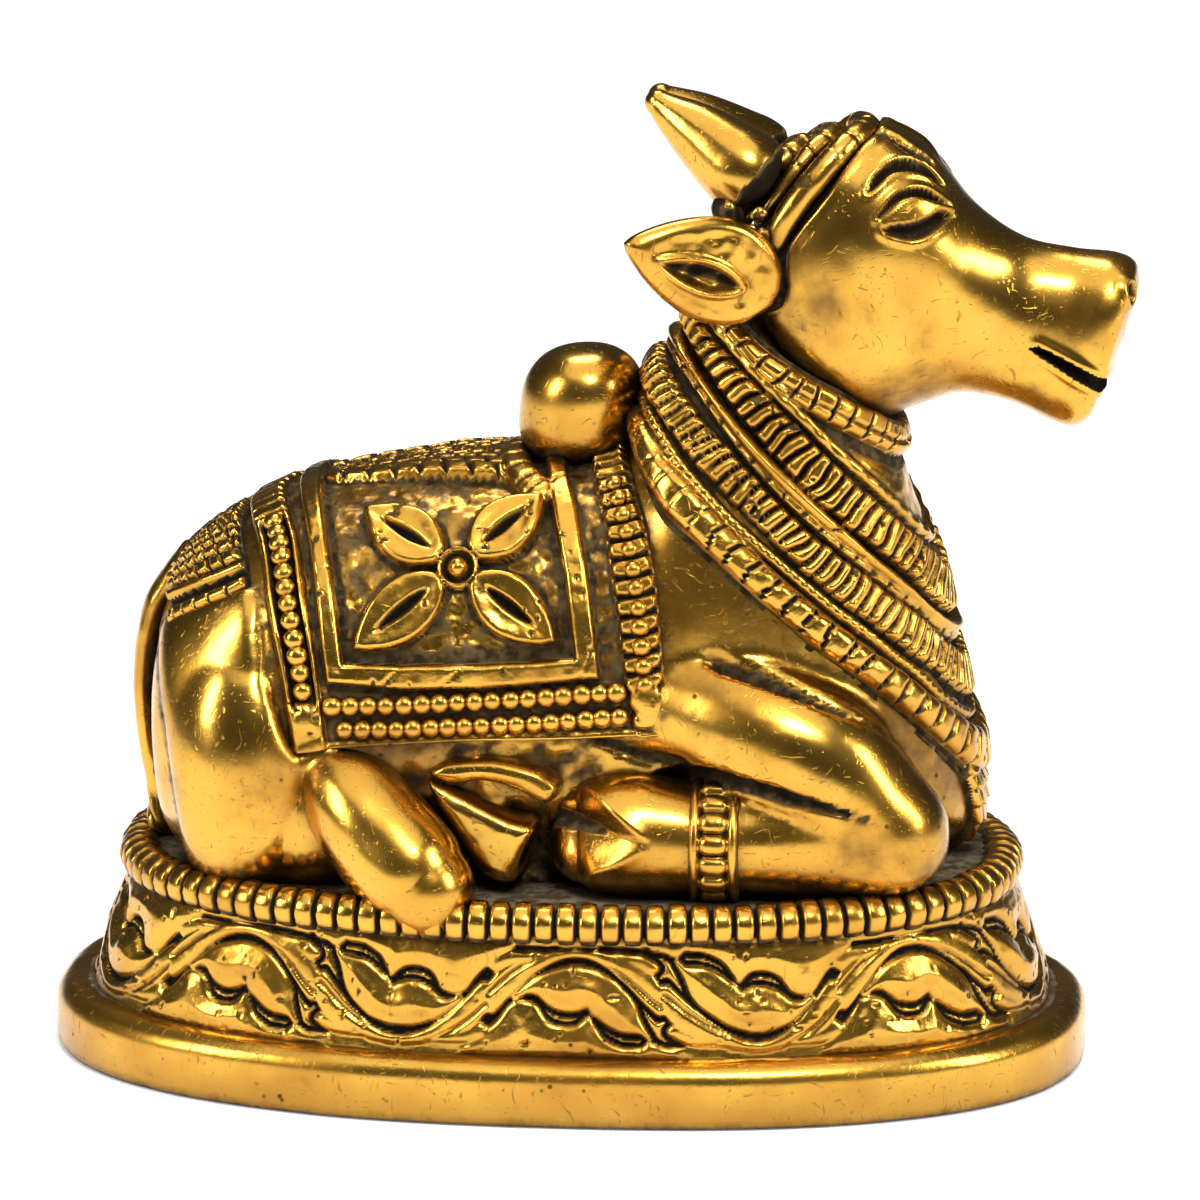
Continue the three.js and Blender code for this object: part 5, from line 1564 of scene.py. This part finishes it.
def make_pendant():
    """The drop on the chest, of overlapping scales."""
    rows, columns = 100, 100
    ring, angle = np.meshgrid(np.linspace(8.72, 10.06, rows), np.linspace(146, 214, columns), indexing="ij")
    base, normals, _, _ = TORSO.surface(ring, angle)
    middle = TORSO.point(9.78, 180.0)
    out = TORSO.normal(9.5, 180.0)
    up = unit(np.array([0, 0, 1.0]) - out * out[2])
    q = np.stack([base[..., 1], (base - middle) @ up], -1)
    inside = inside_polygon(q, rounded(DROP, 3))
    top, tall_mm, wide_mm = 3.4, 2.5, 3.1
    row_at = (top - q[..., 1]) / tall_mm
    row = np.floor(row_at)
    within = row_at - row
    cell = from_middle(q[..., 0] / wide_mm + 0.5 * (row % 2))
    tongue = 0.95 - cell ** 2 * 0.42 - within
    scale = (0.35 + 0.65 * within) * smooth(0.0, 0.3, tongue + 0.32) * smooth(1.02, 0.84, cell)
    lift = -0.6 + shoulder(inside + 0.2, 0.8) * 1.5 + smooth(0, 0.8, inside) * (1.15 * scale)
    lift = lift + 0.08 * noise(base, 1.4, 121)
    ground = np.where(inside > 0.2, smooth(0.45, 0.12, scale), 0.9)
    patina = np.clip(0.9 * ground + recess(lift, (4, 4), gain=0.9), 0, 1)
    return patch("pendant", on_deck(base + normals * lift[..., None]), 3.0, normals, patina)


# Materials.

# How near another surface shuts a place in, in metres.
GROOVE_REACH, HOLLOW_REACH = 0.0022, 0.009
BRASS = (0.72, 0.395, 0.048)
DULL_BRASS = (0.72 * 0.80, 0.395 * 0.72, 0.048 * 0.60)
SCRATCHED = (0.20, 0.10, 0.018)
# The brown of stains and the black of patina, which also carry painted shade in hollows and crevices.
BROWN_STAIN_AND_SHADE = (0.105, 0.046, 0.007)
BLACK_PATINA_AND_SHADE = (0.008, 0.0042, 0.0008)
BROWN_DUST = ((0.026, 0.015, 0.004), (0.118, 0.078, 0.028))
PALE_DUST = ((0.065, 0.047, 0.025), (0.190, 0.150, 0.095))


def set_sockets(made, values):
    """Values on a node's own sockets. Colours are opaque."""
    for key, value in values.items():
        socket = made.inputs[key]
        socket.default_value = (*value, 1)[:len(socket.default_value)] if isinstance(value, tuple) else value


def brass(name, scratch, rough, patina_gain=1.0, crevice=1.0, worn=0.12, dust=BROWN_DUST):
    """Polished brass with fine scratches, casting pits, brown stain and dark patina in its recesses, and painted shade
    in its crevices and hollows.
    """
    material = bpy.data.materials.new(name)
    material.use_nodes = True
    nodes, links = material.node_tree.nodes, material.node_tree.links
    nodes.clear()

    def node(kind, sockets, **settings):
        """The outputs of a new node, with its sockets linked or set."""
        made = nodes.new(kind)
        for key, value in settings.items():
            setattr(made, key, value)
        for key, value in sockets.items():
            if isinstance(value, bpy.types.NodeSocket):
                links.new(value, made.inputs[key])
            else:
                set_sockets(made, {key: value})
        return made.outputs

    def maths(operation, a, b, clamp=False):
        return node("ShaderNodeMath", {0: a, 1: b}, operation=operation, use_clamp=clamp)[0]

    def times(value, gain):
        return maths("MULTIPLY", value, gain)

    def added(first, *others):
        for other in others:
            first = maths("ADD", first, other)
        return first

    def swing(texture, gain):
        """A texture round its middle value."""
        return times(maths("SUBTRACT", texture, 0.5), gain)

    def ramp(value, low, high, to_low=0.0, to_high=1.0):
        sockets = {"Value": value, "From Min": low, "From Max": high, "To Min": to_low, "To Max": to_high}
        return node("ShaderNodeMapRange", sockets, interpolation_type="SMOOTHSTEP")[0]

    def mixed(share, a, b):
        return node("ShaderNodeMix", {"Factor": share, "A": a, "B": b}, data_type="RGBA")["Result"]

    def grain(vector, scale, detail, roughness=0.5):
        sockets = {"Vector": vector, "Scale": scale, "Detail": detail, "Roughness": roughness}
        return node("ShaderNodeTexNoise", sockets)

    place = node("ShaderNodeTexCoord", {})["Object"]
    cloud = grain(place, 70, 2.5)
    mottle, fine = cloud["Fac"], grain(place, 480, 2, 0.6)["Fac"]
    # The strokes of the brush bend with the clouds.
    sway = 0.016
    sockets = {0: cloud["Color"], 1: (sway, sway, sway), 2: place}
    bent = node("ShaderNodeVectorMath", sockets, operation="MULTIPLY_ADD")[0]

    def strokes(turn, squeeze, scale):
        brushed = node("ShaderNodeMapping", {"Vector": bent, "Rotation": turn, "Scale": squeeze})[0]
        return ramp(grain(brushed, scale, 1)["Fac"], 0.66, 0.78)

    scratches = maths("MAXIMUM", strokes((0.3, 0.6, 0.9), (1.6, 16, 13), 150),
                      strokes((0.2, -0.9, 0.1), (15, 12, 1.8), 140))
    cells = node("ShaderNodeTexVoronoi", {"Vector": place, "Scale": 420}, feature="F1")["Distance"]
    pits = maths("MULTIPLY", ramp(cells, 0.20, 0.08), ramp(mottle, 0.59, 0.63))

    # How dark each place is: its carved depth, how shut in it lies, and some of each noise.
    stored = node("ShaderNodeAttribute", {}, attribute_name="patina")["Fac"]
    # Occlusion paints shade: within 2.2 mm it blackens crevices along with their patina, within 9 mm it browns the
    # hollows.
    near = node("ShaderNodeAmbientOcclusion", {"Distance": GROOVE_REACH}, samples=2)["AO"]
    wide = node("ShaderNodeAmbientOcclusion", {"Distance": HOLLOW_REACH}, samples=1)["AO"]
    depth = times(stored, patina_gain)
    crevice_patina_and_shade = times(ramp(near, 0.95, 0.1), crevice)
    dusty = ramp(added(depth, swing(fine, 0.7)), 0.42, 0.76)
    shaded = added(crevice_patina_and_shade, swing(fine, 0.6), times(depth, 0.22))
    dark = maths("MAXIMUM", ramp(shaded, 0.38, 0.85), times(pits, 0.8))
    dark = maths("MAXIMUM", dark, ramp(stored, 1.05, 1.6), clamp=True)
    covered = maths("MAXIMUM", dark, dusty)
    # Brown stain from the carved depth and the noise, and painted shade where other surfaces shut a place in.
    stain_and_hollow_shade = added(maths("SUBTRACT", 1.0, wide), times(depth, 1.15), swing(mottle, 1.3), swing(fine, 0.5))

    clean = mixed(ramp(mottle, 0.35, 0.70), BRASS, DULL_BRASS)
    stained_and_shaded = mixed(ramp(stain_and_hollow_shade, 0.12, 0.85, 0.0, 0.92), clean, BROWN_STAIN_AND_SHADE)
    stained_and_shaded = mixed(times(scratches, 0.35 * scratch), stained_and_shaded, SCRATCHED)
    dusted = mixed(ramp(fine, 0.38, 0.66), *dust)
    colour = mixed(dark, mixed(dusty, stained_and_shaded, dusted), BLACK_PATINA_AND_SHADE)

    gloss = added(ramp(mottle, 0.3, 0.7, rough - 0.02, rough + 0.08), times(scratches, 0.10 * scratch),
                  times(ramp(stain_and_hollow_shade, 0.2, 1.1), 0.16))
    height = added(times(mottle, 1.2), times(fine, worn), times(scratches, -0.06 * scratch), times(pits, -0.5),
                   times(maths("MULTIPLY", fine, covered), 0.8))
    shader = node("ShaderNodeBsdfPrincipled", {
        "Base Color": colour,
        "Roughness": maths("ADD", gloss, times(covered, 0.38), clamp=True),
        "Metallic": ramp(covered, 0.3, 1.0, 1.0, 0.2),
        "Normal": node("ShaderNodeBump", {"Strength": 0.5, "Distance": 0.0004, "Height": height})["Normal"],
        "Coat Weight": ramp(covered, 0.1, 0.8, 0.35, 0.0),
        "Coat Roughness": 0.20,
        "Specular IOR Level": ramp(covered, 0.1, 0.9, 0.5, 0.15),
    })
    node("ShaderNodeOutputMaterial", {"Surface": shader[0]})
    return material


def plain(name, colour, roughness, glow):
    material = bpy.data.materials.new(name)
    material.use_nodes = True
    set_sockets(material.node_tree.nodes["Principled BSDF"], {
        "Base Color": colour, "Roughness": roughness, "Emission Color": (1, 1, 1), "Emission Strength": glow,
    })
    return material


# Scene.

POLISHED = brass("brass_polished", scratch=1.6, rough=0.21)
CARVED = brass("brass_carved", patina_gain=1.1, scratch=0.8, rough=0.235, crevice=0.8, worn=0.42)
BEADED = brass("brass_beads", scratch=0.3, rough=0.25, crevice=0.40, worn=0.25)
WORN = brass("brass_plinth", scratch=1.8, rough=0.25, crevice=0.9, worn=0.25, dust=PALE_DUST)

# Every piece with its finish. They are all of the one casting.
pieces = [
    (make_plinth(), WORN), (make_vine_band(), CARVED), (make_rope_rim(), CARVED), (make_deck(), WORN),
    (make_body(), POLISHED), (make_cloth(), CARVED), (make_neckwear(), CARVED), (make_head(), POLISHED),
    (make_hump(), POLISHED), (make_curls(), CARVED), (make_crupper(), CARVED), (make_tail(), CARVED),
    (make_pendant(), CARVED), *((roll, POLISHED) for roll in make_rolls()),
]
for side in SIDES:
    pieces += [(make_ear(side), POLISHED), (make_horn(side), POLISHED), (make_anklet(side), CARVED)]
    pieces += [(make_cloth_beads(side), BEADED)]
    pieces += [(make_shin(side), POLISHED), (make_hoof(side), POLISHED), (make_hind_foot(side), POLISHED)]

for piece, material in pieces:
    piece.data.materials.clear()
    piece.data.materials.append(material)
    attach(piece, "root")
    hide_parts("nandi_bull")

# The camera stands where the photograph's stood.
aim = Vector(TARGET) * MM
away = Vector(VIEW_BACK) * VIEW_AWAY * MM
turn = Matrix((VIEW_RIGHT, VIEW_UP, VIEW_BACK)).transposed()
sensor_mm = 36
camera_data = bpy.data.cameras.new("camera")
camera_data.sensor_width = sensor_mm
camera_data.lens = PX_PER_MM * VIEW_AWAY / PHOTO_PX * sensor_mm
camera_data.shift_x = (PHOTO_PX / 2 - TARGET_PX[0]) / PHOTO_PX
camera_data.shift_y = (TARGET_PX[1] - PHOTO_PX / 2) / PHOTO_PX
camera_data.clip_start, camera_data.clip_end = 0.05, 50
camera = placed("camera", camera_data)
camera.matrix_world = Matrix.Translation(aim + away) @ turn.to_4x4()
bpy.context.scene.camera = camera

FLOOR_REACH = 8
floor_mesh = bpy.data.meshes.new("floor")
floor_mesh.from_pydata([(x * FLOOR_REACH, y * FLOOR_REACH, 0) for x, y in ((-1, -1), (1, -1), (1, 1), (-1, 1))],
                       [], [(0, 1, 2, 3)])
floor = placed("floor", floor_mesh)
floor_mesh.materials.append(plain("pale_floor", (0.93, 0.93, 0.93), 0.9, glow=0.22))

# The softboxes, which all face the figure: their places and sizes in metres, and their watts.
for name, place, size, watts in (
    ("left", (-1.15, -0.75, 0.75), (0.34, 0.72), 11.5),
    ("right", (1.25, -0.45, 0.70), (0.30, 0.72), 10.5),
    ("key", (0.35, -0.95, 1.25), (0.34, 0.28), 12),
    ("top", (-0.1, 0.45, 1.35), (0.6, 0.32), 7.5),
):
    lamp = bpy.data.lights.new(name, "AREA")
    lamp.shape = "RECTANGLE"
    lamp.size, lamp.size_y = size
    lamp.energy = watts
    box = placed(name, lamp)
    box.location = place
    box.rotation_euler = (aim - Vector(place)).to_track_quat("-Z", "Y").to_euler()

sun_light = bpy.data.lights.new("overhead", "SUN")
sun_light.energy = 1.0
sun_light.angle = math.radians(60)
sun_tilt = math.radians(14)
placed("overhead", sun_light).rotation_euler = (sun_tilt, 0, 0)

world = bpy.data.worlds.new("studio")
world.use_nodes = True
set_sockets(world.node_tree.nodes["Background"], {"Color": (1, 1, 1), "Strength": 0.045})
bpy.context.scene.world = world
bpy.context.scene.view_settings.view_transform = "Standard"
